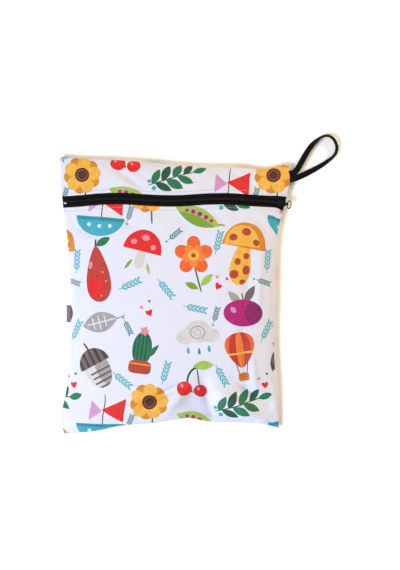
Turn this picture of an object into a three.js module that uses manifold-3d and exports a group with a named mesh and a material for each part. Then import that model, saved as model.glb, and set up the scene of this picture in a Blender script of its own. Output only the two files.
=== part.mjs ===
// Cloth wet bag with a zip across its front, lying on its back on a flat surface.
// Millimetres, +Z up. +X runs across the bag and +Y runs towards its top edge.

import * as THREE from 'three';
import Module from 'manifold-3d';
import { mergeVertices } from 'three/addons/utils/BufferGeometryUtils.js';

// Cloth bag sizes
const BAG_WIDTH = 300; // across the top seam
const BAG_HEIGHT = 362; // top left corner to bottom left corner
const CLOTH = 1.2; // wall of the lined cloth
const SEAM_HEIGHT = 8.5; // seam line above the surface at mid side
const CORNER_HEIGHT = 5; // seam line above the surface at a corner
const PUFF = 22; // how far the front rises above its seam
const FLAT_INSET = 0.55; // share of the front's rise at which the back lies flat
const SEWN_GAP = 0.3; // clearance between pieces that are sewn or stacked together
const SEAM_EASE = 28; // length over which the sheets part for what is sewn into the seam

// Zip sizes
const ZIP_SHOWN = 15.1; // black band between the two cloth edges
const ZIP_OVERLAP = 5; // tape hidden under each cloth edge
const ZIP_TAPE = 1; // thickness of the tape
const CHAIN_GAP = 1.6; // between the two tapes under the chain
const COIL_WIDTH = 4.4;
const COIL_HEIGHT = 1.4;
const ZIP_RAMP = 14; // length over which the tape comes up to the seam at each end
const TAIL_LENGTH = 4; // folded tape end that shows below the band at the right
const CHAIN_DROP = 2.1; // how far the chain runs down from the band's middle at the right
const STOP_WIDTH = 3.4;
const STOP_DEPTH = 2.4;
const STOP_HEIGHT = 1.4;
const STOP_FROM_SEAM = 3.8; // left seam to the middle of the stop
const STOP_ASIDE = 1.6; // middle of the chain to the middle of the stop

// Slider and ring sizes
const SLIDER_LENGTH = 11.8;
const SLIDER_WIDTH = 8.6;
const SLIDER_PLATE = 1.1; // thickness of the roof and of the lower plate
const SLIDER_FLANGE = 1; // thickness of the side walls
const SLIDER_CLEARANCE = 0.5; // around the chain and the tapes
const SLIDER_FROM_SEAM = 4.6; // right seam to the middle of the slider
const POST_AHEAD = -0.3; // slider's middle to the near face of its post
const POST_LENGTH = 2; // post that joins the plates between the tapes
const LOWER_PLATE_LENGTH = 7.5;
const CROWN_WIDTH = 2.4;
const CROWN_WALL = 0.8;
const CROWN_AHEAD = 0.8; // slider's nose to the middle of the ring's wire
const RING_WIRE = 1.3; // diameter of the ring's wire
const RING_LENGTH = 8.6;
const RING_WIDTH = 10;
const RING_DIP = 50; // degrees below level in which the ring lies over the edge
const RING_CLEARANCE = 0.5; // around the wire in the crown

// Hang loop and tab sizes
const LOOP_TAPE_WIDTH = 7.5;
const LOOP_TAPE = 1.3; // thickness of the tape
const LOOP_REACH = 62; // right seam to the far tip of the loop's middle line
const LOOP_RISE = 54; // root to the highest point of the middle line
const LOOP_LEAN = 70; // degrees that the tape leans on its edge at the most
const LOOP_DOWN = 27.8; // top left corner level to the middle of the root
const SEWN_IN = 4.5; // length of tape or tab held inside the seam
const TAB_HEIGHT = 22.3; // along the seam
const TAB_REACH = 6; // beyond the seam
const TAB_THICK = 1;
const TAB_DOWN = 205.5; // top left corner level to the middle of the tab

// Outline of the bag, as shares of its width and height. Down runs from the top left corner.
const TOP_EDGE = [
  { across: 0, down: 0 },
  { across: 0.085, down: 0.008 },
  { across: 0.217, down: 0.013 },
  { across: 0.392, down: 0.0235 },
  { across: 0.567, down: 0.036 },
  { across: 0.786, down: 0.04 },
  { across: 0.864, down: 0.049 },
  { across: 0.926, down: 0.04 },
  { across: 0.965, down: 0.031 },
  { across: 1, down: 0.037 },
];
const BOTTOM_EDGE = [
  { across: 0, down: 1 },
  { across: 0.07, down: 0.996 },
  { across: 0.164, down: 0.989 },
  { across: 0.258, down: 0.973 },
  { across: 0.446, down: 0.96 },
  { across: 0.516, down: 0.951 },
  { across: 0.587, down: 0.942 },
  { across: 0.657, down: 0.953 },
  { across: 0.728, down: 0.958 },
  { across: 0.869, down: 0.96 },
  { across: 0.925, down: 0.9655 },
  { across: 1, down: 0.98 },
];
const LEFT_EDGE = [
  { down: 0, across: 0 },
  { down: 0.101, across: 0.0044 },
  { down: 0.192, across: 0.0153 },
  { down: 0.264, across: 0.0284 },
  { down: 0.337, across: 0.0372 },
  { down: 0.446, across: 0.046 },
  { down: 0.627, across: 0.048 },
  { down: 0.699, across: 0.0416 },
  { down: 0.808, across: 0.0328 },
  { down: 0.88, across: 0.0197 },
  { down: 0.946, across: -0.0022 },
  { down: 1, across: 0.018 },
];
const RIGHT_EDGE = [
  { down: 0.037, across: 1 },
  { down: 0.101, across: 0.9978 },
  { down: 0.141, across: 0.987 },
  { down: 0.21, across: 0.965 },
  { down: 0.264, across: 0.9475 },
  { down: 0.337, across: 0.9365 },
  { down: 0.446, across: 0.932 },
  { down: 0.699, across: 0.93 },
  { down: 0.844, across: 0.943 },
  { down: 0.98, across: 0.952 },
];
// Middle of the zip's band, how far its folded tail shows and how far its chain runs down from the
// middle, as shares of the tail's length and of the chain's drop
const ZIP_LINE = [
  { across: 0, down: 0.1655, tail: 0, drop: 0 },
  { across: 0.075, down: 0.1633, tail: 0, drop: 0 },
  { across: 0.165, down: 0.1579, tail: 0, drop: 0 },
  { across: 0.255, down: 0.1561, tail: 0, drop: 0 },
  { across: 0.39, down: 0.1625, tail: 0, drop: 0 },
  { across: 0.49, down: 0.1654, tail: 0, drop: 0 },
  { across: 0.57, down: 0.1626, tail: 0, drop: 0 },
  { across: 0.647, down: 0.1581, tail: 0, drop: 0 },
  { across: 0.751, down: 0.1572, tail: 0, drop: 0 },
  { across: 0.841, down: 0.1619, tail: 0, drop: 0 },
  { across: 0.9, down: 0.1639, tail: 0, drop: 0.1 },
  { across: 0.967, down: 0.1655, tail: 0, drop: 0.6 },
  { across: 1, down: 0.1671, tail: 1, drop: 1 },
];

// Folds and dents of the front: a line from one place to another, its half width as a share of the
// bag's width, and its rise as a share of the puff. A negative rise is a valley.
const FOLDS = [
  { name: 'top left fold', across: 0.2, down: 0.04, toAcross: 0.31, toDown: 0.12, wide: 0.022, rise: 0.16 },
  { name: 'top left valley', across: 0.25, down: 0.04, toAcross: 0.36, toDown: 0.125, wide: 0.02, rise: -0.14 },
  { name: 'top middle fold', across: 0.5, down: 0.07, toAcross: 0.62, toDown: 0.11, wide: 0.025, rise: 0.1 },
  { name: 'top right valley', across: 0.78, down: 0.06, toAcross: 0.9, toDown: 0.12, wide: 0.025, rise: -0.14 },
  { name: 'left zip pucker', across: 0.23, down: 0.2, toAcross: 0.34, toDown: 0.27, wide: 0.022, rise: -0.13 },
  { name: 'left zip fold', across: 0.3, down: 0.19, toAcross: 0.42, toDown: 0.26, wide: 0.025, rise: 0.1 },
  { name: 'right zip pucker', across: 0.74, down: 0.2, toAcross: 0.87, toDown: 0.27, wide: 0.025, rise: -0.15 },
  { name: 'right zip fold', across: 0.84, down: 0.2, toAcross: 0.92, toDown: 0.29, wide: 0.025, rise: 0.12 },
  { name: 'right side valley', across: 0.86, down: 0.44, toAcross: 0.845, toDown: 0.74, wide: 0.03, rise: -0.12 },
  { name: 'right side fold', across: 0.81, down: 0.4, toAcross: 0.8, toDown: 0.7, wide: 0.035, rise: 0.06 },
  { name: 'left side valley', across: 0.1, down: 0.34, toAcross: 0.12, toDown: 0.62, wide: 0.035, rise: -0.07 },
  { name: 'bottom dent', across: 0.6, down: 0.87, toAcross: 0.66, toDown: 0.965, wide: 0.055, rise: -0.36 },
  { name: 'bottom left fold', across: 0.4, down: 0.935, toAcross: 0.585, toDown: 0.825, wide: 0.03, rise: 0.16 },
  { name: 'bottom right fold', across: 0.62, down: 0.82, toAcross: 0.84, toDown: 0.93, wide: 0.035, rise: 0.1 },
  { name: 'corner fold', across: 0.05, down: 0.96, toAcross: 0.35, toDown: 0.92, wide: 0.03, rise: 0.12 },
  { name: 'corner valley', across: 0.08, down: 0.9, toAcross: 0.3, toDown: 0.87, wide: 0.03, rise: -0.08 },
];

// Middle line of the hang loop, from its upper root round to its lower root. Out and up are shares of
// the loop's reach and rise, side is a share of the tape's pitch at the root, lean a share of the full lean.
const LOOP_ROUTE = [
  { out: 0, up: 0, side: 0.5, lean: 0 },
  { out: 0.067, up: 0, side: 0.5, lean: 0 },
  { out: 0.14, up: 0.014, side: 0.5, lean: 0.05 },
  { out: 0.21, up: 0.097, side: 0.48, lean: 0.15 },
  { out: 0.269, up: 0.2225, side: 0.45, lean: 0.22 },
  { out: 0.335, up: 0.375, side: 0.4, lean: 0.28 },
  { out: 0.432, up: 0.593, side: 0.3, lean: 0.38 },
  { out: 0.521, up: 0.758, side: 0.2, lean: 0.55 },
  { out: 0.659, up: 0.93, side: 0.1, lean: 1 },
  { out: 0.802, up: 1, side: 0, lean: 0.88 },
  { out: 0.915, up: 0.942, side: 0, lean: 0.76 },
  { out: 1, up: 0.743, side: 0, lean: 0.74 },
  { out: 0.982, up: 0.58, side: 0, lean: 0.85 },
  { out: 0.92, up: 0.47, side: 0, lean: 0.95 },
  { out: 0.822, up: 0.382, side: -0.05, lean: 0.8 },
  { out: 0.665, up: 0.268, side: -0.15, lean: 0.65 },
  { out: 0.467, up: 0.161, side: -0.3, lean: 0.42 },
  { out: 0.27, up: 0.064, side: -0.42, lean: 0.15 },
  { out: 0.13, up: 0.01, side: -0.5, lean: 0 },
  { out: 0.067, up: 0, side: -0.5, lean: 0 },
  { out: 0, up: 0, side: -0.5, lean: 0 },
];

// How finely the sheets are divided
const FRONT_COLUMNS = 36;
const FRONT_ROWS = 26;
const TOP_ROWS = 7;
const BACK_COLUMNS = 26;
const BACK_ROWS = 26;
const LOOP_STEPS = 60;
const RING_STEPS = 36;
const WIRE_SIDES = 8;

const MATERIALS = {
  cloth: new THREE.MeshStandardMaterial({ color: 0xefeffa, roughness: 0.75, metalness: 0 }),
  tape: new THREE.MeshStandardMaterial({ color: 0x17171a, roughness: 0.85, metalness: 0 }),
  coil: new THREE.MeshStandardMaterial({ color: 0x1d1d20, roughness: 0.5, metalness: 0 }),
  slider: new THREE.MeshStandardMaterial({ color: 0x1b1b1d, roughness: 0.3, metalness: 0.6 }),
  ring: new THREE.MeshStandardMaterial({ color: 0x4a443f, roughness: 0.35, metalness: 0.9 }),
  stop: new THREE.MeshStandardMaterial({ color: 0xc9c9cc, roughness: 0.3, metalness: 1 }),
  tab: new THREE.MeshStandardMaterial({ color: 0x9a9a9e, roughness: 0.6, metalness: 0 }),
};

const { clamp, lerp, smoothstep, degToRad } = THREE.MathUtils;
const UP = new THREE.Vector3(0, 0, 1);

/** Smooth value of one column of a table at a place in another column. */
function readTable(rows, key, column, place) {
  const last = rows.length - 1;
  const at = clamp(place, rows[0][key], rows[last][key]);
  let i = 0;
  while (i < last - 1 && rows[i + 1][key] < at) i += 1;
  const slope = (k) => {
    const a = rows[Math.max(k - 1, 0)];
    const b = rows[Math.min(k + 1, last)];
    return (b[column] - a[column]) / (b[key] - a[key]);
  };
  const span = rows[i + 1][key] - rows[i][key];
  const t = (at - rows[i][key]) / span;
  const t2 = t * t;
  const t3 = t2 * t;
  return (
    (2 * t3 - 3 * t2 + 1) * rows[i][column] +
    (t3 - 2 * t2 + t) * span * slope(i) +
    (3 * t2 - 2 * t3) * rows[i + 1][column] +
    (t3 - t2) * span * slope(i + 1)
  );
}

/** Shares from 0 to 1 that crowd towards both ends. */
function crowdedShares(count, crowding) {
  return Array.from({ length: count + 1 }, (_, i) => {
    const even = i / count;
    return lerp(even, (1 - Math.cos(Math.PI * even)) / 2, crowding);
  });
}

// Lines across the bag, in millimetres down from the top left corner
const topLine = (u) => BAG_HEIGHT * readTable(TOP_EDGE, 'across', 'down', u);
const bottomLine = (u) => BAG_HEIGHT * readTable(BOTTOM_EDGE, 'across', 'down', u);
const bandLine = (u) => BAG_HEIGHT * readTable(ZIP_LINE, 'across', 'down', u);
const chainLine = (u) => bandLine(u) + CHAIN_DROP * readTable(ZIP_LINE, 'across', 'drop', u);
const upperZipEdge = (u) => bandLine(u) - ZIP_SHOWN / 2;
const tailDrop = (u) => TAIL_LENGTH * clamp(readTable(ZIP_LINE, 'across', 'tail', u), 0, 1);
const lowerZipEdge = (u) => bandLine(u) + ZIP_SHOWN / 2 + tailDrop(u);
const leftSide = (down) => BAG_WIDTH * readTable(LEFT_EDGE, 'down', 'across', down / BAG_HEIGHT);
const rightSide = (down) => BAG_WIDTH * readTable(RIGHT_EDGE, 'down', 'across', down / BAG_HEIGHT);

/** A place on the bag: u runs from the left seam to the right one, down is in millimetres. */
function placeOn(u, down) {
  const top = topLine(u);
  const v = (down - top) / (bottomLine(u) - top);
  const x = lerp(leftSide(down), rightSide(down), u);
  return { u, v, down, x, y: BAG_HEIGHT - down };
}

/** Seam line's height at a place, which falls towards the corners. */
function seamHeight({ u, v }) {
  const corner = Math.abs(2 * u - 1) ** 4 * Math.abs(2 * v - 1) ** 4;
  return lerp(SEAM_HEIGHT, CORNER_HEIGHT, corner);
}

/** How far the sheets part at the seam for what is sewn into it, on each side of the seam line. */
function seamParting({ u, down }) {
  const held = [
    { side: 1, middle: LOOP_DOWN, span: 2 * LOOP_TAPE_WIDTH, thick: LOOP_TAPE },
    { side: 0, middle: TAB_DOWN, span: TAB_HEIGHT, thick: TAB_THICK },
  ];
  return held.reduce((sum, { side, middle, span, thick }) => {
    const inward = Math.abs(u - side) * BAG_WIDTH;
    const along = Math.abs(down - middle) - span / 2;
    const nearAlong = 1 - smoothstep(along, SEAM_EASE / 3, SEAM_EASE);
    const near = nearAlong * (1 - smoothstep(inward, SEAM_EASE / 2, SEAM_EASE));
    return sum + near * (thick / 2 + 1.5 * SEWN_GAP);
  }, SEWN_GAP / 2);
}

const crown = (share) => 1 - Math.abs(2 * share - 1) ** 3;

/** Share of the full puff at a place. The stiff zip flattens the sides near it. */
function puffShare({ u, v, down }) {
  const fromZip = Math.abs(down - bandLine(u)) / BAG_HEIGHT;
  const sideRoll = lerp(1, 0.62, smoothstep(fromZip, 0.03, 0.16));
  return Math.max(crown(u), 0) ** sideRoll * Math.max(crown(clamp(v, 0, 1)), 0) ** 0.65;
}

/** Height that the folds add at a place, fading out towards the seam and the stiff zip. */
function foldHeight({ u, v, down }) {
  const p = new THREE.Vector2(u * BAG_WIDTH, down);
  const fromZip = Math.abs(down - bandLine(u)) - ZIP_SHOWN / 2;
  const fade =
    smoothstep(Math.min(u, 1 - u), 0, 0.06) *
    smoothstep(Math.min(v, 1 - v), 0, 0.05) *
    lerp(0.15, 1, smoothstep(fromZip, 0, 3 * ZIP_OVERLAP));
  let height = 0;
  for (const fold of FOLDS) {
    const from = new THREE.Vector2(fold.across * BAG_WIDTH, fold.down * BAG_HEIGHT);
    const run = new THREE.Vector2(fold.toAcross * BAG_WIDTH, fold.toDown * BAG_HEIGHT).sub(from);
    const along = clamp(p.clone().sub(from).dot(run) / run.lengthSq(), 0, 1);
    const away = p.distanceTo(from.addScaledVector(run, along)) / (fold.wide * BAG_WIDTH);
    height += fold.rise * PUFF * Math.exp(-away * away);
  }
  return height * fade;
}

/** Outer face of the front at a place. */
function frontPoint(u, down) {
  const place = placeOn(u, down);
  const rim = seamHeight(place) + seamParting(place) + CLOTH;
  return new THREE.Vector3(place.x, place.y, rim + PUFF * puffShare(place) + foldHeight(place));
}

/** Outer face of the back at a place: flat on the surface inside the turned-up rim. */
function backPoint(u, down) {
  const place = placeOn(u, down);
  const rim = seamHeight(place) - seamParting(place) - CLOTH;
  const lift = 1 - clamp(puffShare(place) / FLAT_INSET, 0, 1);
  return new THREE.Vector3(place.x, place.y, rim * lift * lift);
}

/** Direction through the wall at a place: upright at the seam, square to the cloth away from it. */
function wallDirection(surface, u, down) {
  const step = 1e-3;
  const top = topLine(u);
  const bottom = bottomLine(u);
  const right = surface(Math.min(u + step, 1), down).sub(surface(Math.max(u - step, 0), down));
  const lower = Math.min(down + step * BAG_HEIGHT, bottom);
  const upper = Math.max(down - step * BAG_HEIGHT, top);
  const normal = surface(u, upper).sub(surface(u, lower)).cross(right).negate().normalize();
  const fromSeam = Math.min(Math.min(u, 1 - u) * BAG_WIDTH, down - top, bottom - down);
  return UP.clone().lerp(normal, smoothstep(fromSeam, 0, 3 * CLOTH)).normalize();
}

/** Point below the outer face of the front by a depth, through the wall. */
function underFront(u, down, depth) {
  return frontPoint(u, down).addScaledVector(wallDirection(frontPoint, u, down), -depth);
}

/** Closed body between an upper and a lower grid of points, indexed [row][column]. */
function sheetGeometry(upper, lower) {
  const rows = upper.length;
  const columns = upper[0].length;
  const points = [...upper.flat(), ...lower.flat()];
  const above = (r, c) => r * columns + c;
  const below = (r, c) => rows * columns + above(r, c);
  const faces = [];
  const quad = (a, b, c, d) => faces.push(a, b, c, a, c, d);
  for (let r = 0; r < rows - 1; r += 1) {
    for (let c = 0; c < columns - 1; c += 1) {
      quad(above(r, c), above(r + 1, c), above(r + 1, c + 1), above(r, c + 1));
      quad(below(r, c), below(r, c + 1), below(r + 1, c + 1), below(r + 1, c));
    }
    quad(above(r, 0), below(r, 0), below(r + 1, 0), above(r + 1, 0));
    quad(above(r, columns - 1), above(r + 1, columns - 1), below(r + 1, columns - 1), below(r, columns - 1));
  }
  for (let c = 0; c < columns - 1; c += 1) {
    quad(above(0, c), above(0, c + 1), below(0, c + 1), below(0, c));
    quad(above(rows - 1, c), below(rows - 1, c), below(rows - 1, c + 1), above(rows - 1, c + 1));
  }
  return meshFrom(points, faces);
}

/** Closed body through a list of rings of points, capped at both ends or joined into a loop. */
function sweepGeometry(rings, joined = false) {
  const sides = rings[0].length;
  const faces = [];
  const at = (r, s) => (r % rings.length) * sides + (s % sides);
  const spans = joined ? rings.length : rings.length - 1;
  for (let r = 0; r < spans; r += 1) {
    for (let s = 0; s < sides; s += 1) {
      faces.push(at(r, s), at(r, s + 1), at(r + 1, s + 1));
      faces.push(at(r, s), at(r + 1, s + 1), at(r + 1, s));
    }
  }
  if (!joined) {
    for (let s = 1; s < sides - 1; s += 1) {
      faces.push(at(0, 0), at(0, s + 1), at(0, s));
      faces.push(at(rings.length - 1, 0), at(rings.length - 1, s), at(rings.length - 1, s + 1));
    }
  }
  return meshFrom(rings.flat(), faces);
}

/** Indexed geometry from points and corner numbers. */
function meshFrom(points, faces) {
  const geometry = new THREE.BufferGeometry();
  const flat = points.flatMap((p) => [p.x, p.y, p.z]);
  geometry.setAttribute('position', new THREE.Float32BufferAttribute(flat, 3));
  geometry.setIndex(faces);
  geometry.computeVertexNormals();
  return geometry;
}

/** Grid of points over shares across and a list of lines down the bag. */
function gridOver(shares, lines, pointAt) {
  return lines.map((line) => shares.map((u) => pointAt(u, line(u))));
}

const acrossShares = crowdedShares(FRONT_COLUMNS, 0.6);

/** A cloth sheet of the front between lines down the bag. */
function clothSheet(lines) {
  return sheetGeometry(
    gridOver(acrossShares, lines, frontPoint),
    gridOver(acrossShares, lines, (u, down) => underFront(u, down, CLOTH)),
  );
}

/** Lines from the top seam to the zip, the last one at the cloth's sewn edge. */
function topPanel() {
  const overlapLine = (u) => upperZipEdge(u) - ZIP_OVERLAP;
  const lines = Array.from({ length: TOP_ROWS }, (_, i) => {
    const share = Math.sin(((i / (TOP_ROWS - 1)) * Math.PI) / 2) ** 2;
    const even = lerp(share, i / (TOP_ROWS - 1), 0.5);
    return (u) => lerp(topLine(u), overlapLine(u), even);
  });
  return clothSheet([...lines, upperZipEdge]);
}

/** Lines from the zip to the bottom seam, the first one at the cloth's sewn edge. */
function frontPanel() {
  const overlapLine = (u) => lowerZipEdge(u) + ZIP_OVERLAP;
  const lines = Array.from({ length: FRONT_ROWS }, (_, i) => {
    const even = i / (FRONT_ROWS - 1);
    const share = lerp(even, Math.sin((even * Math.PI) / 2), 0.55);
    return (u) => lerp(overlapLine(u), bottomLine(u), share);
  });
  return clothSheet([lowerZipEdge, ...lines]);
}

function backPanel() {
  const across = crowdedShares(BACK_COLUMNS, 0.7);
  const lines = crowdedShares(BACK_ROWS, 0.7).map((share) => (u) => lerp(topLine(u), bottomLine(u), share));
  const inner = (u, down) =>
    backPoint(u, down).addScaledVector(wallDirection(backPoint, u, down), CLOTH);
  return sheetGeometry(gridOver(across, lines, inner), gridOver(across, lines, backPoint));
}

/** Distance to the nearer side seam along the zip. */
const fromSideSeam = (u) => Math.min(u, 1 - u) * (rightSide(bandLine(u)) - leftSide(bandLine(u)));

/** Depth of the tape's upper face under the cloth's outer face: it comes up to the seam at its ends. */
function tapeDepth(u) {
  return lerp(CLOTH - ZIP_TAPE, CLOTH + SEWN_GAP, clamp(fromSideSeam(u) / ZIP_RAMP, 0, 1));
}

/** Tape hidden under the cloth's edge, cut back where the tape comes up to the seam. */
function tapeMargin(u) {
  return fromSideSeam(u) > ZIP_RAMP ? ZIP_OVERLAP : -SEWN_GAP;
}

/** One zip tape. Sign is -1 for the upper tape and 1 for the lower one. */
function zipTape(sign, clothEdge) {
  const inner = (u) => chainLine(u) + (sign * CHAIN_GAP) / 2;
  const hidden = (u) => clothEdge(u) + sign * tapeMargin(u);
  const shown = (u) => clothEdge(u) - (tapeMargin(u) < 0 ? sign * 2 * SEWN_GAP : 0);
  const middle = (u) => (shown(u) + inner(u)) / 2;
  const lines = sign < 0 ? [hidden, shown, middle, inner] : [inner, middle, shown, hidden];
  return sheetGeometry(
    gridOver(acrossShares, lines, (u, down) => underFront(u, down, tapeDepth(u))),
    gridOver(acrossShares, lines, (u, down) => underFront(u, down, tapeDepth(u) + ZIP_TAPE)),
  );
}

/** Point above the tapes' upper face at a place beside the chain. */
function overTape(u, down, height) {
  return underFront(u, down, tapeDepth(u) - height);
}

const zipWidth = rightSide(bandLine(0.5)) - leftSide(bandLine(0.5));

/** Share across the bag of a distance from the left seam, along the zip. */
const shareAlongZip = (fromLeft) => fromLeft / zipWidth;

/** The closed chain from the stop into the slider's mouth. */
function zipCoil() {
  const start = shareAlongZip(STOP_FROM_SEAM + STOP_WIDTH / 2 + SEWN_GAP);
  const end = shareAlongZip(zipWidth - SLIDER_FROM_SEAM + POST_AHEAD - SLIDER_CLEARANCE);
  const section = [
    { side: 0.5, up: 0 },
    { side: -0.5, up: 0 },
    { side: -0.5, up: 0.6 },
    { side: -0.25, up: 1 },
    { side: 0.25, up: 1 },
    { side: 0.5, up: 0.6 },
  ];
  const stations = [start, ...acrossShares.filter((u) => u > start && u < end), end];
  const rings = stations.map((u) =>
    section.map(({ side, up }) =>
      overTape(u, chainLine(u) + side * COIL_WIDTH, SEWN_GAP + up * COIL_HEIGHT),
    ),
  );
  return sweepGeometry(rings);
}

/**
 * Seats a hard piece of a given length and width on the tapes, beside the chain by a distance, with x
 * along the zip and z off the cloth. Returns its slope down towards the right.
 */
function seatOnZip(piece, { fromLeft, aside = 0, length, width }) {
  const u = shareAlongZip(fromLeft);
  const spread = Math.min(shareAlongZip(length / 2), 1 - u);
  const onTape = (across, down) => overTape(u + across, chainLine(u + across) + aside + down, 0);
  const along = onTape(spread, 0).sub(onTape(-spread, 0)).normalize();
  const across = onTape(0, -width / 2).sub(onTape(0, width / 2));
  const off = along.clone().cross(across).normalize();
  const basis = new THREE.Matrix4().makeBasis(along, off.clone().cross(along), off);
  piece.quaternion.setFromRotationMatrix(basis);
  piece.position.copy(onTape(spread, 0).lerp(onTape(-spread, 0), 0.5));
  return Math.asin(-along.z);
}

const wasm = await Module();
wasm.setup();

/** Solid of a closed geometry, for joining and cutting. */
function solidOf(geometry) {
  const bare = geometry.clone().deleteAttribute('normal').deleteAttribute('uv');
  const merged = mergeVertices(bare, 1e-4);
  return new wasm.Manifold(
    new wasm.Mesh({
      numProp: 3,
      vertProperties: new Float32Array(merged.getAttribute('position').array),
      triVerts: new Uint32Array(merged.getIndex().array),
    }),
  );
}

/** Geometry of a joined solid. */
function geometryOf(solid) {
  const mesh = solid.getMesh();
  const geometry = new THREE.BufferGeometry();
  geometry.setAttribute('position', new THREE.BufferAttribute(mesh.vertProperties, 3));
  geometry.setIndex(new THREE.BufferAttribute(mesh.triVerts, 1));
  geometry.computeVertexNormals();
  return geometry;
}

/** Box between two corners. */
function boxBetween(low, high) {
  const size = high.map((value, i) => value - low[i]);
  const middle = high.map((value, i) => (value + low[i]) / 2);
  return new THREE.BoxGeometry(...size).translate(...middle);
}

/** Plate with a round nose towards +x and a narrower tail, between two heights. */
function sliderPlate(length, width, low, high) {
  const half = width / 2;
  const shape = new THREE.Shape();
  shape.moveTo(-length / 2, -half * 0.72);
  shape.lineTo(length / 2 - half, -half);
  shape.absarc(length / 2 - half, 0, half, -Math.PI / 2, Math.PI / 2, false);
  shape.lineTo(-length / 2, half * 0.72);
  const settings = { depth: high - low, bevelEnabled: false, curveSegments: 6 };
  return new THREE.ExtrudeGeometry(shape, settings).translate(0, 0, low);
}

// Heights in the slider, above the tapes' upper face
const ROOF_LOW = SEWN_GAP + COIL_HEIGHT + SLIDER_CLEARANCE;
const ROOF_HIGH = ROOF_LOW + SLIDER_PLATE;
const HOLE_RADIUS = RING_WIRE / 2 + RING_CLEARANCE;
const PIVOT_HEIGHT = ROOF_HIGH + HOLE_RADIUS + 0.1;
const PIVOT_AHEAD = SLIDER_LENGTH / 2 + CROWN_AHEAD;

/** Round bar across the slider at the ring's pivot. */
function crossBar(radius, width) {
  return new THREE.CylinderGeometry(radius, radius, width, 20).translate(PIVOT_AHEAD, 0, PIVOT_HEIGHT);
}

/** Eye over the slider's nose that the ring passes through, on a foot that runs back over the roof. */
function sliderCrown() {
  const eye = HOLE_RADIUS + CROWN_WALL;
  const low = [PIVOT_AHEAD - 3 * eye, -CROWN_WIDTH / 2, ROOF_HIGH - SLIDER_PLATE / 2];
  const high = [PIVOT_AHEAD - 0.3 * eye, CROWN_WIDTH / 2, PIVOT_HEIGHT + 0.4 * eye];
  return solidOf(crossBar(eye, CROWN_WIDTH)).add(solidOf(boxBetween(low, high)));
}

/** Slider: roof over the chain, side walls, post between the tapes and the plate under them. */
function zipSlider() {
  const wall = SLIDER_WIDTH / 2;
  const back = -SLIDER_LENGTH / 2;
  const post = CHAIN_GAP / 2 - SLIDER_CLEARANCE;
  const lowerTop = -ZIP_TAPE - SLIDER_CLEARANCE;
  const lowerLow = lowerTop - SLIDER_PLATE;
  const lowerMiddle = POST_AHEAD + POST_LENGTH - LOWER_PLATE_LENGTH / 2;
  const joint = SLIDER_PLATE / 4;
  const postLow = [POST_AHEAD, -post, lowerTop - joint];
  const postHigh = [POST_AHEAD + POST_LENGTH, post, ROOF_LOW + joint];
  const lower = sliderPlate(LOWER_PLATE_LENGTH, SLIDER_WIDTH * 0.8, lowerLow, lowerTop);
  const parts = [
    solidOf(sliderPlate(SLIDER_LENGTH, SLIDER_WIDTH, ROOF_LOW, ROOF_HIGH)),
    solidOf(lower.translate(lowerMiddle, 0, 0)),
    solidOf(boxBetween(postLow, postHigh)),
    sliderCrown(),
  ];
  for (const side of [-1, 1]) {
    const outer = side * (wall - 0.3 * SLIDER_FLANGE);
    const inner = outer - side * SLIDER_FLANGE;
    const low = [back + 2 * SLIDER_FLANGE, Math.min(inner, outer), SLIDER_CLEARANCE];
    const high = [SLIDER_LENGTH / 2 - wall, Math.max(inner, outer), ROOF_LOW + joint];
    parts.push(solidOf(boxBetween(low, high)));
  }
  const whole = parts.reduce((joined, next) => joined.add(next));
  return geometryOf(whole.subtract(solidOf(crossBar(HOLE_RADIUS, 2 * CROWN_WIDTH))));
}

/** Oval wire ring, its near side across the crown's hole at the origin and its body towards +x. */
function zipPull() {
  const path = new THREE.EllipseCurve(RING_LENGTH / 2, 0, RING_LENGTH / 2, RING_WIDTH / 2);
  const rings = Array.from({ length: RING_STEPS }, (_, i) => {
    const { x, y } = path.getPoint(i / RING_STEPS);
    const tangent = path.getTangent(i / RING_STEPS);
    const side = new THREE.Vector3(-tangent.y, tangent.x, 0);
    return Array.from({ length: WIRE_SIDES }, (_, s) => {
      const angle = (2 * Math.PI * s) / WIRE_SIDES;
      return new THREE.Vector3(x, y, 0)
        .addScaledVector(side, (Math.cos(angle) * RING_WIRE) / 2)
        .addScaledVector(UP, (Math.sin(angle) * RING_WIRE) / 2);
    });
  });
  return sweepGeometry(rings, true);
}

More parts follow.
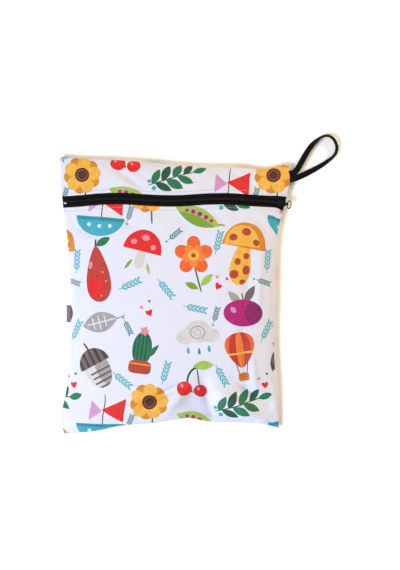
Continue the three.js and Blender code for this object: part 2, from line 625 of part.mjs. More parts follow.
/** Flat black tape folded into a loop, both ends held side by side in the right seam. */
function hangLoop() {
  const root = placeOn(1, LOOP_DOWN);
  const pitch = LOOP_TAPE_WIDTH + SEWN_GAP;
  const tipHeight = (LOOP_TAPE_WIDTH / 2) * Math.sin(degToRad(LOOP_LEAN)) + LOOP_TAPE / 2 + SEWN_GAP;
  const route = LOOP_ROUTE.map(({ out, up, side, lean }) => {
    const x = root.x - SEWN_IN + out * (LOOP_REACH + SEWN_IN);
    const y = root.y + up * LOOP_RISE + side * pitch;
    const rootHeight = seamHeight(placeOn(1, LOOP_DOWN - side * pitch));
    return new THREE.Vector3(x, y, lerp(rootHeight, tipHeight, lean));
  });
  const path = new THREE.CatmullRomCurve3(route, false, 'centripetal');
  const leans = LOOP_ROUTE.map((row, i) => ({ at: i / (LOOP_ROUTE.length - 1), lean: row.lean }));
  const section = [
    { side: 0.5, up: -0.3 },
    { side: 0.5, up: 0.3 },
    { side: 0.42, up: 0.5 },
    { side: -0.42, up: 0.5 },
    { side: -0.5, up: 0.3 },
    { side: -0.5, up: -0.3 },
    { side: -0.42, up: -0.5 },
    { side: 0.42, up: -0.5 },
  ];
  const rings = Array.from({ length: LOOP_STEPS + 1 }, (_, i) => {
    const at = i / LOOP_STEPS;
    const centre = path.getPoint(at);
    const tangent = path.getTangent(at);
    const level = new THREE.Vector3(-tangent.y, tangent.x, 0).normalize();
    const lean = degToRad(LOOP_LEAN * clamp(readTable(leans, 'at', 'lean', at), 0, 1));
    const broad = level.multiplyScalar(Math.cos(lean)).addScaledVector(UP, -Math.sin(lean));
    const thin = tangent.clone().cross(broad).normalize();
    return section.map(({ side, up }) =>
      centre
        .clone()
        .addScaledVector(broad, side * LOOP_TAPE_WIDTH)
        .addScaledVector(thin, up * LOOP_TAPE),
    );
  });
  return sweepGeometry(rings);
}

/** Folded tab held in the left seam, its fold outward and a little lower. */
function sideTab() {
  const section = [
    { out: -SEWN_IN, up: -0.5 },
    { out: -SEWN_IN, up: 0.5 },
    { out: TAB_REACH - TAB_THICK / 2, up: 0.5 },
    { out: TAB_REACH, up: 0.15 },
    { out: TAB_REACH, up: -0.15 },
    { out: TAB_REACH - TAB_THICK / 2, up: -0.5 },
  ];
  const rings = [-0.5, -0.25, 0, 0.25, 0.5].map((along) => {
    const place = placeOn(0, TAB_DOWN + along * TAB_HEIGHT);
    return section.map(({ out, up }) => {
      const droop = 0.12 * Math.max(out, 0);
      return new THREE.Vector3(place.x - out, place.y, seamHeight(place) + up * TAB_THICK - droop);
    });
  });
  return sweepGeometry(rings);
}

const bag = new THREE.Group();

/** Adds one named piece to a group. */
function addPiece(group, name, geometry, material) {
  const piece = new THREE.Mesh(geometry, material);
  piece.name = name;
  group.add(piece);
  return piece;
}

addPiece(bag, 'back_panel', backPanel(), MATERIALS.cloth);
addPiece(bag, 'front_panel', frontPanel(), MATERIALS.cloth);
addPiece(bag, 'top_panel', topPanel(), MATERIALS.cloth);
addPiece(bag, 'zip_tape_upper', zipTape(-1, upperZipEdge), MATERIALS.tape);
addPiece(bag, 'zip_tape_lower', zipTape(1, lowerZipEdge), MATERIALS.tape);
addPiece(bag, 'zip_coil', zipCoil(), MATERIALS.coil);
addPiece(bag, 'hang_loop', hangLoop(), MATERIALS.tape);
addPiece(bag, 'side_label', sideTab(), MATERIALS.tab);

const slider = new THREE.Group();
const sliderPitch = seatOnZip(slider, {
  fromLeft: zipWidth - SLIDER_FROM_SEAM,
  length: SLIDER_LENGTH,
  width: SLIDER_WIDTH,
});
addPiece(slider, 'zip_slider', zipSlider(), MATERIALS.slider);
const ring = addPiece(slider, 'zip_pull', zipPull(), MATERIALS.ring);
ring.position.set(PIVOT_AHEAD, 0, PIVOT_HEIGHT);
ring.rotation.y = degToRad(RING_DIP) - sliderPitch;
bag.add(slider);

const stopLow = [-STOP_WIDTH / 2, -STOP_DEPTH / 2, SEWN_GAP];
const stopHigh = [STOP_WIDTH / 2, STOP_DEPTH / 2, SEWN_GAP + STOP_HEIGHT];
const stop = addPiece(bag, 'zip_end_stop', boxBetween(stopLow, stopHigh), MATERIALS.stop);
seatOnZip(stop, { fromLeft: STOP_FROM_SEAM, aside: STOP_ASIDE, length: STOP_WIDTH, width: STOP_DEPTH });

// The origin is under the middle of the whole, on the surface that the back lies on
bag.updateMatrixWorld(true);
const reach = new THREE.Box3().setFromObject(bag, true);
const middle = reach.getCenter(new THREE.Vector3());
bag.position.set(-middle.x, -middle.y, 0);

export default bag;
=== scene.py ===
"""Cloth wet bag with a zip, lying on its back on a pale floor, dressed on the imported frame.

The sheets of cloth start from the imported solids, are divided finely, settled by a cloth simulation,
creased and given their thickness. The print, the knit and the tapes are node materials whose
patterns are drawn in real millimetres.
"""

import logging
import math
from dataclasses import dataclass, field
from enum import Enum

import bmesh
import bpy
import numpy as np
from bmesh.types import BMVert, BMesh
from bpy.types import Material, Node, NodeSocket, NodeTree, Object
from mathutils import Matrix, Vector, noise
from mathutils.bvhtree import BVHTree
from mathutils.kdtree import KDTree


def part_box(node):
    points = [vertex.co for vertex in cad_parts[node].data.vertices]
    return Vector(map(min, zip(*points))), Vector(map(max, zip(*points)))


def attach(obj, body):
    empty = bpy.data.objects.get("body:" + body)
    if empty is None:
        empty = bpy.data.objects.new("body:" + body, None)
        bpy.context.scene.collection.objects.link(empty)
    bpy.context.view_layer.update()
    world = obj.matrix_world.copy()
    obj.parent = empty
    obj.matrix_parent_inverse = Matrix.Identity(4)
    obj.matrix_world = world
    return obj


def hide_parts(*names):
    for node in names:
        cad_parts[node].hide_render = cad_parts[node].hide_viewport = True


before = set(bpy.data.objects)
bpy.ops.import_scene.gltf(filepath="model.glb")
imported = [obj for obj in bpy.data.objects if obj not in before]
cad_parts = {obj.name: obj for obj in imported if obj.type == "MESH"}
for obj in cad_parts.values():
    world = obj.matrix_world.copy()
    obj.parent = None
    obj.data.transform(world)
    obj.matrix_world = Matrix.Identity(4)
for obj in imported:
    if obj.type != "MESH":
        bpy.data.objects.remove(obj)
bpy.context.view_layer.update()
LOG = logging.getLogger("wet_bag")
MM = 0.001
BODY = "bag"
UV_NAME = "cloth_mm"
HEM_NAME = "hem_mm"

Colour = tuple[float, float, float, float]

# Numbers of a colour mix's sockets
FACTOR, BELOW, ABOVE, MIXED = 0, 6, 7, 2


def linear(hex_colour: str) -> Colour:
    """Turns an sRGB hex colour into a linear one.

    Args:
        hex_colour: Colour such as "#EFEFFA".

    Returns:
        Linear red, green, blue and an alpha of 1.
    """
    values = [int(hex_colour[i : i + 2], 16) / 255 for i in (1, 3, 5)]
    low = [v / 12.92 if v <= 0.04045 else ((v + 0.055) / 1.055) ** 2.4 for v in values]
    return (low[0], low[1], low[2], 1.0)


def smooth(value: float, low: float, high: float) -> float:
    """Smooth step from 0 at low to 1 at high."""
    t = min(max((value - low) / (high - low), 0.0), 1.0)
    return t * t * (3 - 2 * t)


def add_node(
    tree: NodeTree,
    kind: str,
    settings: dict | None = None,
    inputs: dict | None = None,
) -> Node:
    """Adds a node with its settings, values and links.

    Args:
        tree: Node tree to add to.
        kind: Kind of shader node, such as "Math".
        settings: Properties of the node.
        inputs: Socket name or number to a value, or to the socket that feeds it.

    Returns:
        The new node.
    """
    node = tree.nodes.new("ShaderNode" + kind)
    for name, value in (settings or {}).items():
        setattr(node, name, value)
    for name, value in (inputs or {}).items():
        if isinstance(value, NodeSocket):
            tree.links.new(value, node.inputs[name])
        else:
            node.inputs[name].default_value = value
    return node


def start_material(name: str) -> tuple[Material, NodeTree]:
    """Makes an empty node material.

    Args:
        name: Name of the material.

    Returns:
        The material and its node tree.
    """
    material = bpy.data.materials.new(name)
    material.use_nodes = True
    material.node_tree.nodes.clear()
    return material, material.node_tree


def surfaced(material: Material, inputs: dict) -> Material:
    """Gives a material its surface.

    Args:
        material: An empty node material, with what feeds its surface.
        inputs: Values and sockets of the surface.

    Returns:
        The material.
    """
    tree = material.node_tree
    shader = add_node(tree, "BsdfPrincipled", inputs=inputs)
    add_node(tree, "OutputMaterial", inputs={"Surface": shader.outputs[0]})
    return material


class Ink(Enum):
    """Inks of the print on the cloth."""

    GROUND = "#E4EAFF"
    ORANGE = "#F2682A"
    FLAME = "#F58A3A"
    BRICK = "#C23A2E"
    RED = "#E5201F"
    GOLD = "#F5BC4B"
    OCHRE = "#D98E1F"
    RUST = "#B5462A"
    TEAL = "#3DAFC6"
    LAGOON = "#1F93A8"
    DEEP_TEAL = "#12717F"
    GREEN = "#1F7A55"
    PINE = "#0F5740"
    LIME = "#A5C95A"
    MOSS = "#7FA63C"
    MAGENTA = "#B5177E"
    PLUM = "#8A1566"
    LILAC = "#D79AD6"
    PINK = "#F08FA5"
    PALE_GREY = "#D9DADC"
    GREY = "#A9A8A9"
    SLATE = "#6E6468"
    BARK = "#4A2E26"


class Outline(Enum):
    """Outlines that the print's marks are cut to, each two units wide and tall."""

    ROUND = "round"
    BLOCK = "block"
    LEAF = "leaf"
    DOME = "dome"
    CONE = "cone"
    HEART = "heart"
    FLOWER = "flower"
    TWIG = "twig"
    PEAR = "pear"
    BANDS = "bands"
    HOOP = "hoop"


@dataclass(frozen=True)
class Mark:
    """One mark of a motif, in millimetres and degrees about the motif's middle."""

    outline: Outline
    ink: Ink
    x: float
    y: float
    wide: float
    tall: float
    turn: float = 0
    inside: bool = False


@dataclass(frozen=True)
class Motif:
    """A motif of the print, placed in its repeat in millimetres and degrees."""

    name: str
    x: float
    y: float
    turn: float
    marks: tuple[Mark, ...]


REPEAT_WIDE = 250.0
REPEAT_TALL = 270.0

# Short names of the outlines, for the tables of marks
ROUND, BLOCK, LEAF, DOME, CONE, HEART, FLOWER, TWIG, TEARDROP, BANDS, HOOP = Outline


def several(outline: Outline, ink: Ink, *rows: tuple, inside: bool = False) -> tuple[Mark, ...]:
    """Marks of one outline and ink, from rows of x, y, width, height and turn."""
    return tuple(Mark(outline, ink, *row, inside=inside) for row in rows)


BALLOON = (
    Mark(BLOCK, Ink.BARK, -6, -17, 1.1, 18, 12),
    Mark(BLOCK, Ink.BARK, 6, -17, 1.1, 18, -12),
    Mark(BLOCK, Ink.OCHRE, 0, -27, 14, 11),
    Mark(BANDS, Ink.RUST, 0, -27, 14, 11, 90, True),
    Mark(TEARDROP, Ink.ORANGE, 0, 8, 50, 46, 180),
    Mark(ROUND, Ink.BRICK, 0, 9, 29, 50, 0, True),
    Mark(ROUND, Ink.FLAME, 0, 9, 10, 50, 0, True),
    Mark(BLOCK, Ink.GOLD, 0, 4, 56, 2.4, 0, True),
)
MUSHROOM = (
    Mark(TEARDROP, Ink.GOLD, 0, -14, 36, 62),
    *several(
        ROUND, Ink.RUST, (-7, -32, 12, 11, 20), (8, -24, 10, 12), (-5, -15, 8, 9), (5, -6, 8, 8),
        (6, -40, 9, 7), inside=True,
    ),
    Mark(DOME, Ink.OCHRE, 0, 4, 58, 66),
    Mark(DOME, Ink.GOLD, -3, 6, 46, 54, 4, True),
    *several(
        ROUND, Ink.RUST, (-16, 15, 11, 9, 25), (0, 25, 12, 10), (15, 13, 9, 8, -30), inside=True,
    ),
)
PEAR = (
    Mark(BLOCK, Ink.BARK, 0, 37, 2.2, 12, -8),
    Mark(LEAF, Ink.GREEN, 10, 39, 22, 10, 25),
    Mark(TEARDROP, Ink.BRICK, 0, -2, 42, 72),
    Mark(ROUND, Ink.RUST, 12, -12, 26, 50, 0, True),
    Mark(ROUND, Ink.BRICK, 3, -8, 30, 60, 0, True),
    Mark(ROUND, Ink.RED, -4, -18, 22, 26, 0, True),
    Mark(ROUND, Ink.PINK, -9, 10, 5, 10, -15),
    *several(ROUND, Ink.FLAME, (6, 0, 3, 3), (10, -12, 3, 3), (2, -30, 3, 3)),
)
BOAT = (
    Mark(BLOCK, Ink.BARK, 2, 12, 1.4, 46),
    Mark(CONE, Ink.RED, 14, 14, 34, 30, 90),
    Mark(CONE, Ink.LILAC, -8, 12, 26, 16, -90),
    Mark(DOME, Ink.TEAL, 0, -6, 64, 50, 180),
    Mark(BLOCK, Ink.LAGOON, 0, -9, 64, 4, 0, True),
    *several(ROUND, Ink.GROUND, (-14, -17, 5, 5), (0, -18, 5, 5), (14, -17, 5, 5)),
)
BRANCH = (
    Mark(BLOCK, Ink.PINE, 0, 0, 66, 1.6),
    Mark(LEAF, Ink.GREEN, -20, 8, 24, 10, 48),
    Mark(LEAF, Ink.PINE, -6, 9, 25, 11, 50),
    Mark(LEAF, Ink.GREEN, 9, 8, 23, 11, 46),
    Mark(LEAF, Ink.PINE, 23, 6, 20, 9, 38),
    Mark(LEAF, Ink.PINE, -15, -8, 24, 10, -44),
    *several(LEAF, Ink.GREEN, (0, -9, 25, 12, -46), (15, -8, 23, 10, -42), (37, 0, 19, 9)),
    Mark(ROUND, Ink.TEAL, -27, -6, 6, 6),
    Mark(ROUND, Ink.TEAL, -30, 5, 5, 5),
)
POD = (
    Mark(BLOCK, Ink.MOSS, 31, 2, 12, 2.2, 18),
    Mark(LEAF, Ink.LIME, 0, 0, 62, 24),
    Mark(LEAF, Ink.MOSS, 0, -6, 62, 13, 0, True),
    *several(
        ROUND, Ink.MAGENTA, (-16, 2, 5, 5), (-8, 3.5, 6, 6), (1, 4, 6.5, 6.5), (10, 3.5, 6, 6),
        (18, 2, 5, 5),
    ),
)
DAISY = (
    Mark(BLOCK, Ink.GREEN, 0, -22, 2.2, 36, 5),
    Mark(LEAF, Ink.LIME, 11, -26, 22, 9, 35),
    Mark(LEAF, Ink.MOSS, -9, -30, 19, 8, 145),
    Mark(FLOWER, Ink.ORANGE, 0, 8, 50, 50, 8),
    Mark(FLOWER, Ink.FLAME, 0, 8, 31, 31, 44),
    Mark(ROUND, Ink.GOLD, 0, 8, 14, 14),
    Mark(ROUND, Ink.RUST, 0, 8, 6, 6),
)
CLOUD = (
    *several(ROUND, Ink.PALE_GREY, (-15, -1, 26, 20), (16, -2, 24, 18), (1, 4, 34, 29)),
    Mark(HOOP, Ink.GREY, 0, 3, 20, 17),
    Mark(HOOP, Ink.GREY, 0, 3, 9, 8),
    Mark(TEARDROP, Ink.TEAL, -14, -19, 5, 9),
    Mark(TEARDROP, Ink.LAGOON, 0, -21, 5, 9),
    Mark(TEARDROP, Ink.TEAL, 13, -19, 5, 9),
)
PLUMS = (
    Mark(LEAF, Ink.GREY, -13, 20, 25, 10, 130),
    Mark(LEAF, Ink.SLATE, 7, 23, 27, 10, 55),
    Mark(BLOCK, Ink.BARK, -2, 18, 1.8, 16, 8),
    Mark(ROUND, Ink.MAGENTA, -3, 0, 52, 35, -6),
    Mark(ROUND, Ink.PLUM, 12, -2, 25, 30, 10, True),
    Mark(ROUND, Ink.LILAC, -16, 5, 6, 9, 40),
    Mark(BLOCK, Ink.PLUM, -2, 8, 1.2, 18, 12),
)
ACORN = (
    Mark(BLOCK, Ink.BARK, 0, 27, 2.4, 12, 10),
    Mark(ROUND, Ink.PALE_GREY, 0, -5, 34, 52),
    Mark(ROUND, Ink.GREY, 8, -10, 20, 44, 0, True),
    Mark(BANDS, Ink.SLATE, 0, -22, 34, 22, 90, True),
    Mark(DOME, Ink.SLATE, 0, 1, 42, 44),
    Mark(BANDS, Ink.BARK, 0, 12, 42, 22, 0, True),
)
TOADSTOOL = (
    Mark(TEARDROP, Ink.PALE_GREY, 0, -14, 16, 32),
    Mark(DOME, Ink.RED, 0, -7, 50, 56),
    *several(ROUND, Ink.PINK, (-13, 3, 8, 7, 20), (1, 11, 10, 8), (13, 1, 7, 7), inside=True),
    Mark(LEAF, Ink.MOSS, -13, -27, 17, 4, 65),
    Mark(LEAF, Ink.LIME, 13, -27, 15, 4, 115),
)
GREY_LEAF = (
    Mark(LEAF, Ink.GREY, 0, 0, 48, 26),
    *several(
        BLOCK, Ink.GROUND, (2, 0, 40, 1.5), (-9, 0, 1.4, 15), (-1, 0, 1.4, 19), (7, 0, 1.4, 15),
    ),
    Mark(BLOCK, Ink.GREY, 28, 0, 12, 2, 8),
)
SUNFLOWER = (
    Mark(BLOCK, Ink.GREEN, 1, -27, 2.2, 22, -6),
    Mark(FLOWER, Ink.OCHRE, 0, 2, 50, 50, 36),
    Mark(FLOWER, Ink.GOLD, 0, 2, 50, 50),
    Mark(ROUND, Ink.BARK, 0, 2, 19, 19),
    Mark(HOOP, Ink.RUST, 0, 2, 14, 14),
)
CACTUS = (
    Mark(ROUND, Ink.GREEN, 0, 4, 25, 44),
    Mark(BANDS, Ink.PINE, 0, 4, 25, 44, 0, True),
    Mark(TEARDROP, Ink.GREEN, 15, 4, 9, 19, -35),
    Mark(FLOWER, Ink.PINK, 0, 27, 12, 12),
    Mark(BLOCK, Ink.RUST, 0, -20, 29, 17),
    Mark(BLOCK, Ink.FLAME, 0, -16, 29, 2.4, 0, True),
)
CHERRIES = (
    Mark(HOOP, Ink.PINE, 7, 3, 32, 40),
    Mark(BLOCK, Ink.GROUND, 14, -2, 26, 48),
    Mark(BLOCK, Ink.PINE, 6, 6, 1.6, 29, 16),
    Mark(LEAF, Ink.LIME, 10, 24, 27, 12, 12),
    Mark(ROUND, Ink.RED, -10, -10, 20, 20),
    Mark(ROUND, Ink.RED, 11, -11, 18, 18),
    Mark(ROUND, Ink.PINK, -14, -6, 4, 6, 30),
    Mark(ROUND, Ink.PINK, 8, -8, 4, 5, 30),
)
HEARTS = (
    Mark(HEART, Ink.RED, 0, 0, 9, 9),
    Mark(HEART, Ink.PINK, -7, 10, 5, 5, 15),
    Mark(HEART, Ink.MAGENTA, 5, 14, 4, 4, -10),
)
SPRIG = (
    Mark(TWIG, Ink.TEAL, 0, 0, 30, 10),
)
CURL = (
    Mark(TWIG, Ink.DEEP_TEAL, 0, 0, 21, 8),
    Mark(ROUND, Ink.TEAL, -13, 0, 3, 3),
)

MOTIFS = (
    Motif("daisy", 30, 42, 10, DAISY),
    Motif("pod", 34, 100, -24, POD),
    Motif("cherries", 28, 156, -8, CHERRIES),
    Motif("cloud", 34, 218, 5, CLOUD),
    Motif("mushroom", 93, 56, -10, MUSHROOM),
    Motif("branch", 88, 126, 18, BRANCH),
    Motif("balloon", 90, 190, 8, BALLOON),
    Motif("plums", 96, 246, 4, PLUMS),
    Motif("pear", 155, 28, 5, PEAR),
    Motif("boat", 158, 106, -5, BOAT),
    Motif("acorn", 152, 178, 28, ACORN),
    Motif("grey leaf", 158, 234, 14, GREY_LEAF),
    Motif("toadstool", 214, 62, -14, TOADSTOOL),
    Motif("sunflower", 220, 128, 8, SUNFLOWER),
    Motif("cactus", 212, 196, -8, CACTUS),
    Motif("hearts", 122, 152, 10, HEARTS),
    Motif("hearts", 60, 10, -30, HEARTS),
    Motif("hearts", 222, 246, 20, HEARTS),
    *(
        Motif("sprig", *place, SPRIG)
        for place in (
            (60, 66, 76), (64, 166, -62), (126, 42, 86), (124, 222, 62), (196, 12, 24),
            (186, 160, -40), (242, 168, 74), (242, 8, -50), (30, 252, -12),
        )
    ),
    *(
        Motif("curl", *place, CURL)
        for place in (
            (4, 76, 40), (57, 243, 74), (194, 228, -64), (120, 16, -16), (196, 103, 74),
        )
    ),
)


# A written sum: a number, a socket, a name such as "x", or an operation with its values
Sum = float | str | tuple | NodeSocket


def wired(tree: NodeTree, written: Sum, known: dict | None = None) -> NodeSocket | float:
    """Turns a written sum into nodes.

    Args:
        tree: Node tree to add to.
        written: The sum.
        known: Names and sums that have a socket already, which grows.

    Returns:
        The socket that gives the sum, or its number.
    """
    if isinstance(written, (float, NodeSocket)):
        return written
    known = {} if known is None else known
    if written not in known:
        values = {place: wired(tree, value, known) for place, value in enumerate(written[1:])}
        known[written] = add_node(tree, "Math", {"operation": written[0]}, values).outputs[0]
    return known[written]


def square(x: Sum, y: Sum) -> Sum:
    """Square of a place's distance from the middle."""
    return ("MULTIPLY_ADD", x, x, ("MULTIPLY", y, y))


def within(reach: Sum, limit: Sum = 1.0) -> Sum:
    """Mask of 1 where a reach is under its limit, and 0 elsewhere."""
    return ("LESS_THAN", reach, limit)


def leaf(x: Sum, y: Sum) -> Sum:
    """Mask of a leaf with two points."""
    return within(("MULTIPLY_ADD", x, x, ("ABSOLUTE", y)))


@dataclass(frozen=True)
class OutlineGroups:
    """Node groups that turn a mark's own coordinates into a mask of its outline."""

    petals: int = 5
    bands: float = 2.5
    leaf_step: float = 0.34
    leaf_slant: float = 0.45

    def masks(self) -> dict[Outline, Sum]:
        """Written sums of the outlines' masks.

        Returns:
            For each outline the sum that is 1 inside it and 0 outside.
        """
        x, y = "x", "y"
        left, side, radius = ("ABSOLUTE", x), ("ABSOLUTE", y), ("SQRT", square(x, y))
        lobes = ("MULTIPLY_ADD", ("POWER", left, 0.6), -0.75, ("ADD", y, 0.3))
        lobe = ("ABSOLUTE", ("COSINE", ("MULTIPLY", ("ARCTAN2", y, x), self.petals / 2)))
        slant = ("MULTIPLY_ADD", side, -self.leaf_slant, x)
        own = ("WRAP", slant, self.leaf_step / 2, -self.leaf_step / 2)
        small = leaf(("MULTIPLY_ADD", side, 2.3, -1.2), ("MULTIPLY", own, 2.5 / self.leaf_step))
        stem = ("MULTIPLY", within(side, 0.1), within(left))
        wave = ("COSINE", ("MULTIPLY", x, self.bands * 2 * math.pi))
        slope = ("MULTIPLY_ADD", left, 2.0, y)
        waist = ("DIVIDE", x, ("MULTIPLY_ADD", y, -0.32, 0.72))
        return {
            Outline.ROUND: within(square(x, y)),
            Outline.BLOCK: within(square(("MULTIPLY", x, x), ("MULTIPLY", y, y))),
            Outline.LEAF: leaf(x, y),
            Outline.DOME: ("MULTIPLY", within(square(x, y)), ("GREATER_THAN", y, 0.0)),
            Outline.CONE: ("MULTIPLY", within(slope), ("GREATER_THAN", y, -1.0)),
            Outline.HEART: within(square(x, ("MULTIPLY", lobes, 1.25))),
            Outline.FLOWER: within(radius, ("MULTIPLY_ADD", ("POWER", lobe, 0.7), 0.5, 0.5)),
            Outline.TWIG: (
                "MAXIMUM", stem, ("MULTIPLY", small, within(("ABSOLUTE", slant), 0.85))
            ),
            Outline.PEAR: within(square(waist, y)),
            Outline.BANDS: (
                "MULTIPLY", ("GREATER_THAN", wave, 0.35), within(("MAXIMUM", x, y))
            ),
            Outline.HOOP: within(("ABSOLUTE", ("SUBTRACT", radius, 0.92)), 0.08),
        }

    def build(self) -> dict[Outline, NodeTree]:
        """Makes the groups.

        Returns:
            For each outline a node group with X and Y inputs and a Mask output of 0 or 1.
        """
        groups = {}
        for outline, mask in self.masks().items():
            group = bpy.data.node_groups.new(f"print_{outline.value}", "ShaderNodeTree")
            for name, way in (("X", "INPUT"), ("Y", "INPUT"), ("Mask", "OUTPUT")):
                group.interface.new_socket(name, in_out=way, socket_type="NodeSocketFloat")
            x, y = group.nodes.new("NodeGroupInput").outputs[:2]
            made = wired(group, mask, {"x": x, "y": y})
            group.links.new(made, group.nodes.new("NodeGroupOutput").inputs[0])
            groups[outline] = group
        return groups


@dataclass(frozen=True)
class PrintedKnit:
    """Polyester interlock knit, printed with pigment inks and laminated on its back.

    It gives the eye a cool white ground with saturated, slightly blotchy inks, a soft sheen and the
    fine ribs of a knit.
    """

    name: str = "printed_polyester_knit"
    ground: Ink = Ink.GROUND
    rib_mm: float = 1.6  # drawn coarser than the real 0.6 mm ribs, so that they show
    blotch_mm: float = 9.0
    speckle_mm: float = 1.1
    whiteness: float = 0.77
    roughness: float = 0.72
    groove_mm: float = 1.3  # half width of the groove that the topstitching draws

    def build(self) -> Material:
        """Makes the material, whose print is laid out in millimetres of cloth.

        Returns:
            The material.
        """
        material, tree = start_material(self.name)
        cloth = add_node(tree, "UVMap", {"uv_map": UV_NAME}).outputs[0]
        printed = self.lay_print(tree, cloth)
        inked = self.blotched(tree, cloth, printed)
        return surfaced(material, {
            "Base Color": inked,
            "Roughness": self.roughness,
            "Specular IOR Level": 0.35,
            "Sheen Weight": 0.06,
            "Sheen Roughness": 0.5,
            "Normal": self.knit(tree, cloth),
        })

    def lay_print(self, tree: NodeTree, cloth: NodeSocket) -> NodeSocket:
        """Lays every motif's marks over the ground.

        Args:
            tree: Node tree of the material.
            cloth: Place on the cloth, in millimetres.

        Returns:
            The print's colour.
        """
        groups = OutlineGroups().build()
        half = Vector((REPEAT_WIDE / 2, REPEAT_TALL / 2, 1))
        flat = add_node(tree, "VectorMath", {"operation": "SUBTRACT"}, {0: cloth}).outputs[0]
        colour = linear(self.ground.value)
        for motif in MOTIFS:
            middle = Vector((motif.x, motif.y, 0))
            wrap = {"Vector": flat, 1: middle + half, 2: middle - half}
            near = add_node(tree, "VectorMath", {"operation": "WRAP"}, wrap).outputs[0]
            carrier = None
            for mark in motif.marks:
                spot = self.fitted(tree, near, motif, mark)
                shape = {"node_tree": groups[mark.outline]}
                mask = add_node(tree, "Group", shape, spot).outputs[0]
                if mark.inside:
                    mask = wired(tree, ("MULTIPLY", mask, carrier))
                else:
                    carrier = mask
                layers = {FACTOR: mask, BELOW: colour, ABOVE: linear(mark.ink.value)}
                colour = add_node(tree, "Mix", {"data_type": "RGBA"}, layers).outputs[MIXED]
        return colour

    def fitted(
        self, tree: NodeTree, near: NodeSocket, motif: Motif, mark: Mark
    ) -> dict[int, NodeSocket]:
        """A mark's own two coordinates.

        Args:
            tree: Node tree of the material.
            near: Place on the cloth, wrapped around the motif.
            motif: The motif.
            mark: The mark in it.

        Returns:
            The X and Y inputs of the outline's group.
        """
        lean = Matrix.Rotation(math.radians(motif.turn), 3, "Z")
        middle = Vector((motif.x, motif.y, 0)) + lean @ Vector((mark.x, mark.y, 0))
        turn = Matrix.Rotation(math.radians(motif.turn + mark.turn), 3, "Z")
        spot = {}
        for number, (axis, size) in enumerate((((1, 0, 0), mark.wide), ((0, 1, 0), mark.tall))):
            ruler = turn @ Vector(axis) * (2 / size)
            both = {0: near, 1: ruler}
            dot = add_node(tree, "VectorMath", {"operation": "DOT_PRODUCT"}, both)
            spot[number] = wired(tree, ("SUBTRACT", dot.outputs["Value"], ruler.dot(middle)))
        return spot

    def blotched(self, tree: NodeTree, cloth: NodeSocket, printed: NodeSocket) -> NodeSocket:
        """Gives the inks the blotches and pale specks of brush work, but not the ground.

        Args:
            tree: Node tree of the material.
            cloth: Place on the cloth, in millimetres.
            printed: The print's even colour.

        Returns:
            The cloth's colour.
        """
        away = {0: printed, 1: linear(self.ground.value)[:3]}
        ink = add_node(tree, "VectorMath", {"operation": "DISTANCE"}, away)
        amount = {"Value": ink.outputs["Value"], "From Max": 0.35, "To Max": 0.32}
        strength = add_node(tree, "MapRange", inputs=amount).outputs[0]
        wash = {"Vector": cloth, "Scale": 1 / self.blotch_mm, "Detail": 4.0, "Roughness": 0.65}
        cloudy = add_node(tree, "TexNoise", inputs=wash).outputs[0]
        tone = {"Value": cloudy, "From Min": 0.3, "From Max": 0.7, "To Min": 0.55, "To Max": 1.25}
        shade = add_node(tree, "MapRange", inputs=tone).outputs[0]
        multiply = {"data_type": "RGBA", "blend_type": "MULTIPLY"}
        layers = {FACTOR: strength, BELOW: printed, ABOVE: shade}
        washed = add_node(tree, "Mix", multiply, layers).outputs[MIXED]
        grain = {"Vector": cloth, "Scale": 1 / self.speckle_mm, "Detail": 2.0}
        fleck = add_node(tree, "TexNoise", inputs=grain).outputs[0]
        rare = {"Value": fleck, "From Min": 0.62, "From Max": 0.72, "To Max": 0.6}
        specks = add_node(tree, "MapRange", inputs=rare).outputs[0]
        where = wired(tree, ("MULTIPLY", specks, strength))
        layers = {FACTOR: where, BELOW: washed, ABOVE: linear(self.ground.value)}
        inked = add_node(tree, "Mix", {"data_type": "RGBA"}, layers).outputs[MIXED]
        layers = {FACTOR: 1.0, BELOW: inked, ABOVE: (self.whiteness,) * 3 + (1.0,)}
        return add_node(tree, "Mix", multiply, layers).outputs[MIXED]

    def knit(self, tree: NodeTree, cloth: NodeSocket) -> NodeSocket:
        """Ribs of the knit and the faint unevenness of laminated cloth, as a bump.

        Args:
            tree: Node tree of the material.
            cloth: Place on the cloth, in millimetres.

        Returns:
            The surface's normal.
        """
        ribs = {"Vector": cloth, "Scale": 1 / (self.rib_mm * 2), "Distortion": 0.6, "Detail": 1.0}
        rib = add_node(tree, "TexWave", {"bands_direction": "X"}, ribs).outputs["Fac"]
        fine = {"Height": rib, "Strength": 0.12, "Distance": 0.15 * MM}
        first = add_node(tree, "Bump", inputs=fine).outputs[0]
        swell = {"Vector": cloth, "Scale": 1 / 14, "Detail": 3.0, "Roughness": 0.6}
        uneven = add_node(tree, "TexNoise", inputs=swell).outputs[0]
        soft = {"Height": uneven, "Strength": 0.35, "Distance": 1.2 * MM, "Normal": first}
        second = add_node(tree, "Bump", inputs=soft).outputs[0]
        hem = add_node(tree, "Attribute", {"attribute_name": HEM_NAME}).outputs["Fac"]
        rise = {"Value": wired(tree, ("ABSOLUTE", hem)), "From Max": self.groove_mm}
        groove = add_node(tree, "MapRange", {"interpolation_type": "SMOOTHSTEP"}, rise)
        sewn = {"Height": groove.outputs[0], "Strength": 0.8, "Distance": 0.6 * MM}
        return add_node(tree, "Bump", inputs=sewn | {"Normal": second}).outputs[0]


